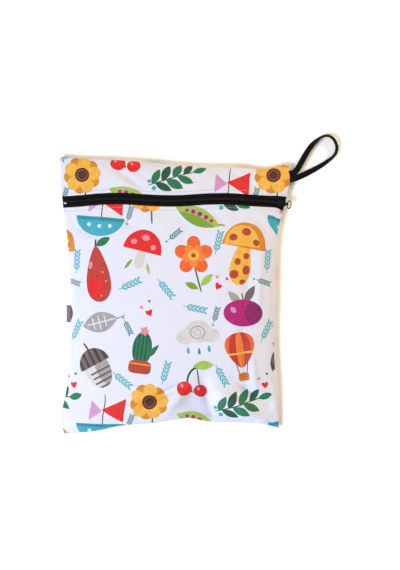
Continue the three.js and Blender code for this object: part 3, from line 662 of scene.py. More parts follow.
@dataclass(frozen=True)
class LaminateFilm:
    """Polyurethane film on the inside of the cloth: milky white, smooth and faintly shiny."""

    name: str = "polyurethane_film"
    colour: str = "#E4E4EA"
    crinkle_mm: float = 5.0

    def build(self) -> Material:
        """Makes the material.

        Returns:
            The material.
        """
        material, tree = start_material(self.name)
        cloth = add_node(tree, "TexCoord").outputs["Object"]
        crinkles = {"Vector": cloth, "Scale": 1 / (self.crinkle_mm * MM), "Detail": 3.0}
        crinkle = add_node(tree, "TexNoise", inputs=crinkles).outputs[0]
        bump = {"Height": crinkle, "Strength": 0.3, "Distance": 0.4 * MM}
        return surfaced(material, {
            "Base Color": linear(self.colour),
            "Roughness": 0.35,
            "Coat Weight": 0.15,
            "Normal": add_node(tree, "Bump", inputs=bump).outputs[0],
        })


@dataclass(frozen=True)
class WovenTape:
    """Black polyester tape, woven in a rib: matt, nearly black, with painted glints on its ribs.

    Its pattern follows the tape's own map, along and across it in millimetres.
    """

    name: str
    colour: str
    # colour of the painted glints, the highlights on the ribs
    painted_glint: str
    rib_mm: float
    weft_mm: float
    line_mm: float  # middle of the tape to its paler line, 0 for none
    line_wide_mm: float = 0.9

    def build(self) -> Material:
        """Makes the material.

        Returns:
            The material.
        """
        material, tree = start_material(self.name)
        tape = add_node(tree, "UVMap", {"uv_map": UV_NAME}).outputs[0]
        across = {"Vector": tape, "Scale": 1 / (self.rib_mm * 2), "Distortion": 0.3}
        ribs = add_node(tree, "TexWave", {"bands_direction": "Y"}, across).outputs["Fac"]
        along = {"Vector": tape, "Scale": 1 / (self.weft_mm * 2), "Distortion": 0.5}
        weft = add_node(tree, "TexWave", {"bands_direction": "X"}, along).outputs["Fac"]
        weave = wired(tree, ("MULTIPLY", ribs, weft))
        wear = {"Vector": tape, "Scale": 1 / 7, "Detail": 3.0}
        patchy = add_node(tree, "TexNoise", inputs=wear).outputs[0]
        # Painted highlight: glints on the weave's ribs, patchy along the tape
        painted_glints = wired(tree, ("MULTIPLY", weave, patchy))
        ramp = {"Value": painted_glints, "From Min": 0.1, "From Max": 0.6, "To Max": 0.8}
        amount = add_node(tree, "MapRange", inputs=ramp).outputs[0]
        lit = self.with_line(tree, tape, amount)
        # Paints the glints and the paler lines into the tape's colour
        layers = {FACTOR: lit, BELOW: linear(self.colour), ABOVE: linear(self.painted_glint)}
        base = add_node(tree, "Mix", {"data_type": "RGBA"}, layers)
        bump = {"Height": weave, "Strength": 0.5, "Distance": 0.2 * MM}
        return surfaced(material, {
            "Base Color": base.outputs[MIXED],
            "Roughness": 0.78,
            "Specular IOR Level": 0.1,
            "Sheen Weight": 0.01,
            "Normal": add_node(tree, "Bump", inputs=bump).outputs[0],
        })

    def with_line(self, tree: NodeTree, tape: NodeSocket, amount: NodeSocket) -> NodeSocket:
        """Adds a paler line, in the painted glint colour, near each long edge where there is one.

        Args:
            tree: Node tree of the material.
            tape: Place on the tape, in millimetres.
            amount: Share of the painted glint colour without the line.

        Returns:
            Share of the painted glint colour with the line.
        """
        if self.line_mm <= 0:
            return amount
        side = add_node(tree, "SeparateXYZ", inputs={0: tape}).outputs[1]
        line = ("COMPARE", ("ABSOLUTE", side), self.line_mm, self.line_wide_mm / 2)
        return wired(tree, ("MAXIMUM", amount, line))


@dataclass(frozen=True)
class HardFinish:
    """A smooth hard surface, with the small unevenness that casting, plating or drawing leaves."""

    name: str
    colour: str
    metallic: float
    roughness: float
    coat: float
    grain_mm: float
    uneven: float = 0.12
    specular: float = 0.5

    def build(self) -> Material:
        """Makes the material.

        Returns:
            The material.
        """
        material, tree = start_material(self.name)
        place = add_node(tree, "TexCoord").outputs["Object"]
        grain = {"Vector": place, "Scale": 1 / (self.grain_mm * MM), "Detail": 3.0}
        patchy = add_node(tree, "TexNoise", inputs=grain).outputs[0]
        low, high = self.roughness - self.uneven / 2, self.roughness + self.uneven / 2
        spread = {"Value": patchy, "From Min": 0.3, "From Max": 0.7, "To Min": low, "To Max": high}
        bump = {"Height": patchy, "Strength": 0.1, "Distance": 0.05 * MM}
        return surfaced(material, {
            "Base Color": linear(self.colour),
            "Metallic": self.metallic,
            "Roughness": add_node(tree, "MapRange", inputs=spread).outputs[0],
            "Specular IOR Level": self.specular,
            "Coat Weight": self.coat,
            "Coat Roughness": 0.12,
            "Normal": add_node(tree, "Bump", inputs=bump).outputs[0],
        })


# Black woven zip tape: matt and nearly black, with painted glints and a faint paler line near each
# edge
ZIP_TAPE = WovenTape("woven_zip_tape", "#060607", "#131316", 0.9, 1.1, 5.6)
# Black woven loop tape: a coarser rib, whose painted glints show as fine lines along the loop
LOOP_TAPE = WovenTape("woven_loop_tape", "#070708", "#1E1E22", 1.2, 1.3, 0)
# Grey satin weave: soft grey with a painted silky glint
LABEL_SATIN = WovenTape("woven_grey_satin", "#6F6F75", "#97979E", 0.8, 2.6, 0)
# Extruded nylon monofilament: black, smooth, half gloss
COIL_NYLON = HardFinish("black_nylon", "#070708", 0.0, 0.55, 0.0, 1.2, specular=0.22)
# Black enamel on cast zinc: deep black with small bright glints
SLIDER_ENAMEL = HardFinish("black_enamel", "#050506", 0.0, 0.2, 0.12, 1.6, specular=0.25)
# Dark nickel plate on drawn wire: dark bronze grey, bright along its length
RING_NICKEL = HardFinish("dark_nickel_plate", "#1D1A18", 0.7, 0.3, 0.0, 1.0)
# Bright stamped steel: pale and shiny, worn at its edges
STOP_STEEL = HardFinish("stamped_steel", "#C9C9CC", 1.0, 0.32, 0.0, 0.8)
# Spun polyester thread: soft white
SEWING_THREAD = HardFinish("polyester_thread", "#CFD2E4", 0.0, 0.7, 0.0, 0.5)


class Side(Enum):
    """Face of a sheet that shows."""

    UP = 1
    DOWN = -1


@dataclass(frozen=True)
class Fold:
    """A fold or valley of the cloth between two places, in millimetres on the plan."""

    name: str
    start: tuple[float, float]
    end: tuple[float, float]
    wide: float
    rise: float
    end_share: float = 0.35  # of the rise that is left at both ends
    end_hold: float = 0.08  # share of the length at each end that keeps it

    def height(self, x: float, y: float) -> float:
        """Rise of the fold at a place, softer at its ends.

        Args:
            x: Place on the plan, in millimetres.
            y: Place on the plan, in millimetres.

        Returns:
            The rise, in millimetres.
        """
        from_start = Vector((x - self.start[0], y - self.start[1]))
        run = Vector((self.end[0] - self.start[0], self.end[1] - self.start[1]))
        along = min(max(from_start.dot(run) / run.length_squared, 0.0), 1.0)
        away = (from_start - run * along).length / self.wide
        held = min(max(along, self.end_hold), 1 - self.end_hold)
        taper = self.end_share + (1 - self.end_share) * math.sin(math.pi * held)
        return self.rise * taper / (1 + away**2) ** 2


def merged_copy(node: str) -> BMesh:
    """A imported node's mesh with its loose triangles joined.

    Args:
        node: Name of the CAD node.

    Returns:
        A new bmesh.
    """
    mesh = bmesh.new()
    mesh.from_mesh(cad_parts[node].data)
    bmesh.ops.remove_doubles(mesh, verts=mesh.verts, dist=0.002 * MM)
    return mesh


def join_quads(mesh: BMesh) -> None:
    """Joins every pair of triangles that makes up a quad."""
    bmesh.ops.join_triangles(
        mesh, faces=mesh.faces, angle_face_threshold=math.pi, angle_shape_threshold=math.pi
    )


def divide(piece: Object, levels: int) -> None:
    """Divides a piece's faces finely and roundly, and applies it.

    Args:
        piece: The piece.
        levels: How often each face is divided.
    """
    fine = piece.modifiers.new("fine", "SUBSURF")
    fine.levels = fine.render_levels = levels
    fine.boundary_smooth = "PRESERVE_CORNERS"
    apply_modifiers(piece)


def thicken(piece: Object, thickness: float, offset: float, inside: int = 0) -> None:
    """Gives a sheet its thickness.

    Args:
        piece: The sheet.
        thickness: Its thickness, in metres.
        offset: Where it grows to, -1 for inwards and 0 for both ways.
        inside: Number of the inside's material.
    """
    wall = piece.modifiers.new("wall", "SOLIDIFY")
    wall.thickness = thickness
    wall.offset = offset
    wall.material_offset = inside
    apply_modifiers(piece)


def make_object(name: str, mesh: BMesh) -> Object:
    """Turns a bmesh into a smooth-shaded object at the origin.

    Args:
        name: Name of the piece.
        mesh: The shape, which is freed.

    Returns:
        The new object.
    """
    data = bpy.data.meshes.new(name)
    mesh.to_mesh(data)
    mesh.free()
    data.shade_smooth()
    piece = bpy.data.objects.new(name, data)
    bpy.context.scene.collection.objects.link(piece)
    return piece


def apply_modifiers(piece: Object) -> None:
    """Puts the result of a piece's modifiers into its mesh and clears them.

    Args:
        piece: The piece.
    """
    graph = bpy.context.evaluated_depsgraph_get()
    shaped = bpy.data.meshes.new_from_object(piece.evaluated_get(graph))
    old = piece.data
    piece.modifiers.clear()
    piece.data = shaped
    shaped.name = piece.name
    bpy.data.meshes.remove(old)


SHARP_TURN = 0.6  # cosine between two faces, under which the sheet's rim begins
UPRIGHT = 0.015  # upward share of a rim face's normal
ROUND_ALL = math.radians(35)  # edges that turn more than this are eased
FLAT_ALL = math.radians(2)  # faces that turn less than this are one


def hand_over(
    piece: Object,
    node: str | None,
    materials: list[Material],
    body: str = BODY,
) -> Object:
    """Gives a finished piece its materials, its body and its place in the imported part.

    Args:
        piece: The piece.
        node: CAD node that it stands for, if any.
        materials: Its materials, in the order of their slots.
        body: Body that it rides on.

    Returns:
        The piece.
    """
    for material in materials:
        piece.data.materials.append(material)
    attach(piece, body)
    if node is not None:
        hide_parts(node)
    LOG.info("%s: %d faces", piece.name, len(piece.data.polygons))
    return piece


def outer_sheet(node: str, side: Side, levels: int) -> Object:
    """The face of a packed sheet that shows, as fine quads.

    Args:
        node: Name of the CAD node, a closed sheet.
        side: Face of the sheet that is kept.
        levels: How often each quad is divided.

    Returns:
        A new object with one layer of faces.
    """
    mesh = merged_copy(node)
    mesh.normal_update()
    start = max(mesh.faces, key=lambda f: f.calc_center_median().z * side.value)
    kept = {start}
    front = [start]
    while front:
        face = front.pop()
        for edge in face.edges:
            for other in edge.link_faces:
                turned = face.normal.dot(other.normal) < SHARP_TURN
                upright = abs(other.normal.z) < UPRIGHT
                if other not in kept and not turned and not upright:
                    kept.add(other)
                    front.append(other)
    rest = [f for f in mesh.faces if f not in kept]
    bmesh.ops.delete(mesh, geom=rest, context="FACES")
    join_quads(mesh)
    piece = make_object(node + "_sheet", mesh)
    divide(piece, levels)
    return piece


@dataclass
class HeightField:
    """Heights over the plan of a sheet, from which lengths along the cloth are measured."""

    piece: Object
    side: Side
    step: float = 2.0 * MM
    ray_from: float = 0.2  # distance from the plan where rays start
    steepest: float = 3.0  # rise between two places that still counts, in steps
    low: np.ndarray = field(init=False)
    along: np.ndarray = field(init=False)
    down: np.ndarray = field(init=False)

    def __post_init__(self) -> None:
        """Samples the sheet and sums the lengths along both directions."""
        points = np.array([v.co for v in self.piece.data.vertices])
        self.low = points.min(0) - 2 * self.step
        high = points.max(0) + 2 * self.step
        tree = BVHTree.FromObject(self.piece, bpy.context.evaluated_depsgraph_get())
        xs = np.arange(self.low[0], high[0], self.step)
        ys = np.arange(self.low[1], high[1], self.step)
        heights = np.full((len(ys), len(xs)), np.nan)
        above = Vector((0, 0, self.ray_from)) * self.side.value
        for j, y in enumerate(ys):
            for i, x in enumerate(xs):
                hit = tree.ray_cast(Vector((x, y, 0)) + above, -above.normalized())[0]
                if hit is not None:
                    heights[j, i] = hit.z
        for row in list(heights) + list(heights.T):
            known = ~np.isnan(row)
            if known.any():
                row[~known] = np.interp(np.flatnonzero(~known), np.flatnonzero(known), row[known])
        heights = np.nan_to_num(heights, nan=float(np.nanmean(heights)))
        self.along = self.summed(heights, 1, int((0 - self.low[0]) / self.step))
        self.down = self.summed(heights, 0, int((0 - self.low[1]) / self.step))

    def summed(self, heights: np.ndarray, axis: int, zero: int) -> np.ndarray:
        """Lengths along the cloth from the line through the origin.

        Args:
            heights: Height at each place.
            axis: 1 for lengths along x and 0 for those along y.
            zero: Number of the place where the length is 0.

        Returns:
            The length at each place, in metres.
        """
        rise = np.diff(heights, axis=axis)
        limit = self.steepest * self.step
        run = np.sqrt(np.clip(rise, -limit, limit) ** 2 + self.step**2)
        pad = [(0, 0), (0, 0)]
        pad[axis] = (1, 0)
        total = np.cumsum(np.pad(run, pad), axis=axis)
        middle = np.take(total, [min(max(zero, 0), total.shape[axis] - 1)], axis=axis)
        return total - middle

    def lengths(self, x: float, y: float) -> tuple[float, float]:
        """Lengths along the cloth at a place.

        Args:
            x: Place on the plan, in metres.
            y: Place on the plan, in metres.

        Returns:
            Length across and length up the cloth, in metres.
        """
        i, j = (x - self.low[0]) / self.step, (y - self.low[1]) / self.step
        i = min(max(i, 0), self.along.shape[1] - 1.001)
        j = min(max(j, 0), self.along.shape[0] - 1.001)
        a, b = int(i), int(j)
        s, t = i - a, j - b
        spread = [(a, b, (1 - s) * (1 - t)), (a + 1, b, s * (1 - t))]
        spread += [(a, b + 1, (1 - s) * t), (a + 1, b + 1, s * t)]
        across = sum(self.along[q, p] * w for p, q, w in spread)
        up = sum(self.down[q, p] * w for p, q, w in spread)
        return float(across), float(up)


def lay_map(piece: Object, place_of: dict[int, tuple[float, float]]) -> None:
    """Gives a piece its map in millimetres of cloth.

    Args:
        piece: The piece.
        place_of: Vertex number to its place on the cloth, in metres.
    """
    layer = piece.data.uv_layers.new(name=UV_NAME)
    for loop in piece.data.loops:
        across, up = place_of[loop.vertex_index]
        layer.data[loop.index].uv = (across / MM, up / MM)


# Light laminated knit that is blown up a little by what is in the bag
CLOTH_SETTINGS = {
    "quality": 6,
    "mass": 0.12,
    "tension_stiffness": 20,
    "compression_stiffness": 20,
    "shear_stiffness": 8,
    "bending_stiffness": 0.6,
    "air_damping": 4,
    "use_pressure": True,
    "uniform_pressure_force": 0.35,
}


@dataclass
class ClothPanel:
    """One panel of printed cloth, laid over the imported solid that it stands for."""

    name: str
    node: str
    side: Side
    levels: int
    folds: tuple[Fold, ...] = ()
    fold_from: float = 9 * MM  # distance from the edge where the folds are full
    print_offset: tuple[float, float] = (0.0, 0.0)
    thickness: float = 1.1 * MM
    pucker: float = 0.0
    pucker_from: float = 3 * MM  # distance from the edge where the puckers are full
    pucker_reach: float = 16 * MM
    pucker_long: float = 10 * MM
    fine_rise: float = 0.5  # of the puckers, which finer ones on them have
    fine_long: float = 0.45
    swell: float = 0.0
    swell_long: float = 34 * MM
    spare: float = 0.0
    spare_fades: tuple[float, float] = (10 * MM, 70 * MM)
    spare_fade: float = 0.75
    pinned_within: float = 0.2 * MM
    frames: int = 24
    cap: float = 5 * MM  # furthest that the simulation may move a place
    seed: int = 1
    noise_step: tuple[float, float, float] = (3.7, 1.9, 5.3)  # times the seed, a panel's own noise
    hem: float = 1.0
    piece: Object = field(init=False, default=None)

    def build(self, cloth: Material, film: Material, chain: "ChainLine") -> Object:
        """Makes the panel.

        Args:
            cloth: Material of the face that shows.
            film: Material of the inside.
            chain: Line of the zip, which the hem follows.

        Returns:
            The finished piece.
        """
        self.piece = outer_sheet(self.node, self.side, self.levels)
        self.piece.name = self.name
        self.map_cloth()
        self.map_hem(chain)
        edge = self.edge_distances()
        if self.spare > 0:
            self.settle(edge)
        self.crease(edge)
        thicken(self.piece, self.thickness, -1, inside=1)
        return hand_over(self.piece, self.node, [cloth, film])

    def map_cloth(self) -> None:
        """Maps the print by lengths along the cloth, so that its rolled sides don't stretch it."""
        heights = HeightField(self.piece, self.side)
        place_of = {}
        for vertex in self.piece.data.vertices:
            across, up = heights.lengths(vertex.co.x, vertex.co.y)
            place_of[vertex.index] = (across + self.print_offset[0], up + self.print_offset[1])
        lay_map(self.piece, place_of)

    def map_hem(self, chain: "ChainLine") -> None:
        """Keeps each vertex's distance from the sewn hem, in millimetres, for the material.

        Args:
            chain: Line of the zip, which the hem follows.
        """
        layer = self.piece.data.attributes.new(HEM_NAME, "FLOAT", "POINT")
        for vertex in self.piece.data.vertices:
            foot, _, _ = chain.at(vertex.co.x)
            away = abs(vertex.co.y - foot.y) - self.hem
            layer.data[vertex.index].value = away / MM

    def edge_distances(self) -> list[float]:
        """Measures how far the panel's places are from its edge.

        Returns:
            Distance of each vertex to the edge, in metres.
        """
        mesh = bmesh.new()
        mesh.from_mesh(self.piece.data)
        edge = [v.co.copy() for v in mesh.verts if v.is_boundary]
        mesh.free()
        tree = KDTree(len(edge))
        for number, place in enumerate(edge):
            tree.insert(place, number)
        tree.balance()
        return [tree.find(v.co)[2] for v in self.piece.data.vertices]

    def crease(self, edge: list[float]) -> None:
        """Adds the folds and the puckers that the seams draw into the cloth.

        Args:
            edge: Distance of each vertex to the panel's edge.
        """
        shift = Vector([axis * self.seed for axis in self.noise_step])
        for vertex, away in zip(self.piece.data.vertices, edge):
            x, y = vertex.co.x / MM, vertex.co.y / MM
            inward = smooth(away, 0, self.fold_from)
            height = sum(fold.height(x, y) for fold in self.folds) * inward
            ripple = noise.noise(vertex.co / self.pucker_long + shift)
            fine = noise.noise(vertex.co / (self.fine_long * self.pucker_long) - shift)
            ripple += self.fine_rise * fine
            near = 1 - smooth(away, self.pucker_from + MM, self.pucker_reach)
            near *= smooth(away, 0, self.pucker_from)
            height += self.pucker / MM * ripple * near
            height += self.swell / MM * noise.noise(vertex.co / self.swell_long - shift) * inward
            vertex.co.z += height * MM * self.side.value

    def settle(self, edge: list[float]) -> None:
        """Settles the cloth by simulation, with a little spare length near its seams.

        Args:
            edge: Distance of each vertex to the panel's edge.
        """
        before = [v.co.copy() for v in self.piece.data.vertices]
        pinned = self.piece.vertex_groups.new(name="pinned")
        spare = self.piece.vertex_groups.new(name="spare")
        for number, away in enumerate(edge):
            pinned.add([number], 1.0 if away < self.pinned_within else 0.0, "REPLACE")
            inward = smooth(away, *self.spare_fades)
            spare.add([number], 1 - self.spare_fade * inward, "REPLACE")
        modifier = self.piece.modifiers.new("settle", "CLOTH")
        for name, value in CLOTH_SETTINGS.items():
            setattr(modifier.settings, name, value)
        modifier.settings.vertex_group_mass = pinned.name
        modifier.settings.vertex_group_shrink = spare.name
        modifier.settings.shrink_min = 0.0
        modifier.settings.shrink_max = -self.spare
        modifier.settings.effector_weights.gravity = 0.0
        modifier.collision_settings.use_collision = False
        for number in range(1, self.frames + 1):
            bpy.context.scene.frame_set(number)
        apply_modifiers(self.piece)
        bpy.context.scene.frame_set(1)
        for vertex, old in zip(self.piece.data.vertices, before):
            move = vertex.co - old
            far = move.length
            if far > 0:
                vertex.co = old + move * (self.cap * math.tanh(far / self.cap) / far)
        self.piece.vertex_groups.clear()


@dataclass
class ChainLine:
    """Middle line of the zip's chain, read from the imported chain."""

    corners: int = 6
    places: list[Vector] = field(init=False, default_factory=list)
    ups: list[Vector] = field(init=False, default_factory=list)

    def __post_init__(self) -> None:
        """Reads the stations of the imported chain, which run along x."""
        mesh = merged_copy("zip_coil")
        points = sorted((v.co.copy() for v in mesh.verts), key=lambda p: p.x)
        mesh.free()
        for first in range(0, len(points) - self.corners + 1, self.corners):
            station = sorted(points[first : first + self.corners], key=lambda p: p.z)
            foot = (station[0] + station[1]) / 2
            middle = sum(station, Vector()) / self.corners
            self.places.append(foot)
            self.ups.append((middle - foot).normalized())

    def at(self, x: float) -> tuple[Vector, Vector, Vector]:
        """The chain's foot at a place along it.

        Args:
            x: Place along the bag, in metres.

        Returns:
            The foot's place, the direction along the chain and the direction off the cloth.
        """
        xs = [p.x for p in self.places]
        i = int(np.clip(np.searchsorted(xs, x) - 1, 0, len(xs) - 2))
        t = (x - xs[i]) / (xs[i + 1] - xs[i])
        place = self.places[i].lerp(self.places[i + 1], t)
        along = (self.places[i + 1] - self.places[i]).normalized()
        up = self.ups[i].lerp(self.ups[i + 1], min(max(t, 0), 1))
        up = (up - along * up.dot(along)).normalized()
        return place, along, up


@dataclass
class Zip:
    """Zip: two woven tapes, the closed coil, the slider with its ring and the end stop."""

    chain: ChainLine
    tooth_pitch: float = 1.35 * MM
    tooth_round: float = 0.5 * MM
    tooth_in: float = 0.6  # of the wire's radius, which stays inside the coil's width
    tooth_sides: int = 6
    coil_wide: float = 4.4 * MM
    coil_tall: float = 1.4 * MM
    # Out and up of a turn's wire, as shares of the coil's half width and height
    arch: tuple[tuple[float, float], ...] = (
        (1, 0.32), (1, 0.66), (0.62, 0.74), (0, 0.74), (-0.42, 0.6)
    )
    levels: int = 2
    tape_thick: float = 0.9 * MM
    wire_gain: float = 0.14 * MM  # what rounding takes off the ring's wire

    def build(self) -> None:
        """Makes every piece of the zip."""
        tape = ZIP_TAPE.build()
        self.tape("zip_upper_tape", "zip_tape_upper", tape)
        self.tape("zip_lower_tape", "zip_tape_lower", tape)
        self.coil()
        self.hard_piece("zip_slider_body", "zip_slider", SLIDER_ENAMEL, 0.22 * MM)
        self.hard_piece("zip_stop", "zip_end_stop", STOP_STEEL, 0.35 * MM)
        self.ring()

    def tape(self, name: str, node: str, material: Material) -> Object:
        """Makes one tape, mapped along and across the zip.

        Args:
            name: Name of the piece.
            node: CAD node that it stands for.
            material: Its material.

        Returns:
            The piece.
        """
        piece = outer_sheet(node, Side.UP, self.levels)
        piece.name = name
        place_of = {}
        for vertex in piece.data.vertices:
            foot, along, _ = self.chain.at(vertex.co.x)
            away = vertex.co - foot
            place_of[vertex.index] = (vertex.co.x, away.y - along.y * away.x)
        lay_map(piece, place_of)
        thicken(piece, self.tape_thick, -1)
        return hand_over(piece, node, [material])

    def tooth(self, side: int) -> BMesh:
        """One turn of the coil: an arch from its outer edge over the middle.

        Args:
            side: 1 for the upper tape's coil and -1 for the lower one.

        Returns:
            The arch about the origin, along y.
        """
        mesh = bmesh.new()
        bmesh.ops.create_circle(
            mesh, cap_ends=True, segments=self.tooth_sides, radius=self.tooth_round
        )
        turn = Matrix.Rotation(math.pi / 2, 4, "X")
        bmesh.ops.transform(mesh, matrix=turn, verts=mesh.verts)
        outer = self.coil_wide / 2 - self.tooth_round * self.tooth_in
        arch = [(out * outer, up) for out, up in self.arch]
        ring = list(mesh.verts)
        start = Vector((0, side * arch[0][0], arch[0][1] * self.coil_tall))
        bmesh.ops.translate(mesh, verts=ring, vec=start)
        for (y0, z0), (y1, z1) in zip(arch, arch[1:]):
            edges = [e for e in mesh.edges if all(v in ring for v in e.verts)]
            grown = bmesh.ops.extrude_edge_only(mesh, edges=edges)
            ring = [g for g in grown["geom"] if isinstance(g, BMVert)]
            step = Vector((0, side * (y1 - y0), (z1 - z0) * self.coil_tall))
            bmesh.ops.translate(mesh, verts=ring, vec=step)
        ends = [e for e in mesh.edges if all(v in ring for v in e.verts)]
        bmesh.ops.contextual_create(mesh, geom=ends)
        bmesh.ops.recalc_face_normals(mesh, faces=mesh.faces)
        return mesh

    def coil(self) -> Object:
        """Makes the closed chain from its single turns, by turns from either side.

        Returns:
            The piece.
        """
        low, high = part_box("zip_coil")
        whole = bmesh.new()
        masters = []
        for side in (1, -1):
            turn = self.tooth(side)
            data = bpy.data.meshes.new("turn")
            turn.to_mesh(data)
            turn.free()
            masters.append(data)
        count = int((high.x - low.x - 2 * self.tooth_round) / self.tooth_pitch)
        for k in range(2 * count):
            x = low.x + self.tooth_round + (k / 2 + 0.25) * self.tooth_pitch
            place, along, up = self.chain.at(x)
            across = up.cross(along).normalized()
            basis = Matrix((along, across, up)).transposed().to_4x4()
            first = len(whole.verts)
            whole.from_mesh(masters[k % 2])
            whole.verts.ensure_lookup_table()
            bmesh.ops.transform(
                whole, matrix=Matrix.Translation(place) @ basis, verts=whole.verts[first:]
            )
        for data in masters:
            bpy.data.meshes.remove(data)
        piece = make_object("zip_chain", whole)
        return hand_over(piece, "zip_coil", [COIL_NYLON.build()])

    def hard_piece(
        self, name: str, node: str, finish: HardFinish, edge: float
    ) -> Object:
        """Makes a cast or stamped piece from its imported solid, with eased edges.

        Args:
            name: Name of the piece.
            node: CAD node that it stands for.
            finish: Its finish.
            edge: Width of the eased edges, in metres.

        Returns:
            The piece.
        """
        mesh = merged_copy(node)
        bmesh.ops.dissolve_limit(mesh, angle_limit=FLAT_ALL, verts=mesh.verts, edges=mesh.edges)
        sharp = [e for e in mesh.edges if e.is_manifold and e.calc_face_angle() > ROUND_ALL]
        bmesh.ops.bevel(
            mesh, geom=sharp, offset=edge, segments=3, profile=0.5, affect="EDGES", material=-1,
            clamp_overlap=True,
        )
        piece = make_object(name, mesh)
        return hand_over(piece, node, [finish.build()])

    def ring(self) -> Object:
        """Makes the pull ring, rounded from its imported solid.

        Returns:
            The piece.
        """
        mesh = merged_copy("zip_pull")
        join_quads(mesh)
        piece = make_object("pull_ring", mesh)
        divide(piece, self.levels)
        for vertex in piece.data.vertices:
            vertex.co += vertex.normal * self.wire_gain
        return hand_over(piece, "zip_pull", [RING_NICKEL.build()], "pull")


@dataclass
class HangLoop:
    """Flat woven tape folded into a loop, both ends sewn into the right seam."""

    tape_wide: float = 7.5 * MM
    tape_thick: float = 1.3 * MM
    reach: float = 62 * MM
    rise: float = 54 * MM
    lean: float = 70.0
    sewn_in: float = 4.5 * MM
    pitch: float = 7.8 * MM
    seam: float = 7.7 * MM  # height of the tape's middle in the seam
    over_floor: float = 0.3 * MM
    over_rise: float = 0.2  # of the tape's half width, which stands over the highest knot
    edge_power: int = 6  # how near its edges the tape's face starts to round off
    crown: float = 0.5  # rise of the tape's face over its edges, as a share of its thickness
    sunk: float = 0.35  # how far its edges lie under its middle line, as a share as well
    core: float = 0.8  # of the thickness, which the sheet itself has
    steps: int = 260
    rows: int = 6
    # Out, up, side and lean of the tape's middle line, as shares
    route: tuple[tuple[float, float, float, float], ...] = (
        (0, 0, 0.5, 0),
        (0.067, 0, 0.5, 0),
        (0.14, 0.014, 0.5, 0.05),
        (0.21, 0.097, 0.48, 0.15),
        (0.269, 0.2225, 0.45, 0.22),
        (0.335, 0.375, 0.4, 0.28),
        (0.432, 0.593, 0.3, 0.38),
        (0.521, 0.758, 0.2, 0.55),
        (0.659, 0.93, 0.1, 1),
        (0.802, 1, 0, 0.88),
        (0.915, 0.942, 0, 0.76),
        (1, 0.743, 0, 0.74),
        (0.982, 0.58, 0, 0.85),
        (0.92, 0.47, 0, 0.95),
        (0.822, 0.382, -0.05, 0.8),
        (0.665, 0.268, -0.15, 0.65),
        (0.467, 0.161, -0.3, 0.42),
        (0.27, 0.064, -0.42, 0.15),
        (0.13, 0.01, -0.5, 0),
        (0.067, 0, -0.5, 0),
        (0, 0, -0.5, 0),
    )

    def build(self) -> Object:
        """Makes the loop.

        Returns:
            The finished piece.
        """
        mesh = bmesh.new()
        bmesh.ops.create_grid(mesh, x_segments=self.steps, y_segments=self.rows, size=1)
        layer = mesh.loops.layers.uv.new(UV_NAME)
        places, lengths = self.stations()
        for face in mesh.faces:
            for loop in face.loops:
                at = (loop.vert.co.x + 1) / 2
                length = float(np.interp(at, np.linspace(0, 1, len(lengths)), lengths))
                loop[layer].uv = (length / MM, loop.vert.co.y * self.tape_wide / 2 / MM)
        for vertex in mesh.verts:
            station = places[round((vertex.co.x + 1) / 2 * self.steps)]
            side = vertex.co.y
            edge = 1 - abs(side) ** self.edge_power
            lift = station[2] * (self.crown * self.tape_thick * edge - self.sunk * self.tape_thick)
            vertex.co = station[0] + station[1] * (side * self.tape_wide / 2) + lift
        bmesh.ops.recalc_face_normals(mesh, faces=mesh.faces)
        piece = make_object("loop_tape", mesh)
        thicken(piece, self.tape_thick * self.core, 0)
        return hand_over(piece, "hang_loop", [LOOP_TAPE.build()])

    def stations(self) -> tuple[list[tuple[Vector, Vector, Vector]], np.ndarray]:
        """Places along the tape.

        Returns:
            For each step its middle, its direction across and its direction through, and the
            length of tape up to each step.
        """
        low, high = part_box("hang_loop")
        root_y = high.y - self.rise - self.tape_wide / 2 * self.over_rise
        half = math.sin(math.radians(self.lean)) * self.tape_wide / 2
        tip = half + self.tape_thick / 2 + self.over_floor
        knots = [
            Vector(
                (
                    low.x + out * (self.reach + self.sewn_in),
                    root_y + up * self.rise + side * self.pitch,
                    self.seam + (tip - self.seam) * lean,
                )
            )
            for out, up, side, lean in self.route
        ]
        places = [self.curve(knots, k / self.steps) for k in range(self.steps + 1)]
        leans = [row[3] for row in self.route]
        spots = np.linspace(0, 1, len(leans))
        stations = []
        for k, place in enumerate(places):
            ahead = places[min(k + 1, self.steps)] - places[max(k - 1, 0)]
            along = ahead.normalized()
            level = Vector((-along.y, along.x, 0)).normalized()
            lean = math.radians(self.lean * float(np.interp(k / self.steps, spots, leans)))
            across = (level * math.cos(lean) - Vector((0, 0, 1)) * math.sin(lean)).normalized()
            stations.append((place, across, along.cross(across).normalized()))
        gaps = [(b - a).length for a, b in zip(places, places[1:])]
        return stations, np.concatenate([[0], np.cumsum(gaps)])

    def curve(self, knots: list[Vector], share: float) -> Vector:
        """A place on the smooth line through the knots.

        Args:
            knots: The knots.
            share: Share of the line up to the place, from 0 to 1.

        Returns:
            The place.
        """
        spot = share * (len(knots) - 1)
        i = min(int(spot), len(knots) - 2)
        a, b = knots[i], knots[i + 1]
        before = knots[i - 1] if i > 0 else a * 2 - b
        after = knots[i + 2] if i + 2 < len(knots) else b * 2 - a
        roots = [max((q - p).length, 1e-7) ** 0.5 for p, q in ((before, a), (a, b), (b, after))]
        d0, d1, d2 = roots
        leave = ((a - before) / d0 - (b - before) / (d0 + d1) + (b - a) / d1) * d1
        reach = ((b - a) / d1 - (after - a) / (d1 + d2) + (after - b) / d2) * d1
        t = spot - i
        return (
            a * (2 * t**3 - 3 * t**2 + 1)
            + leave * (t**3 - 2 * t**2 + t)
            + b * (3 * t**2 - 2 * t**3)
            + reach * (t**3 - t**2)
        )


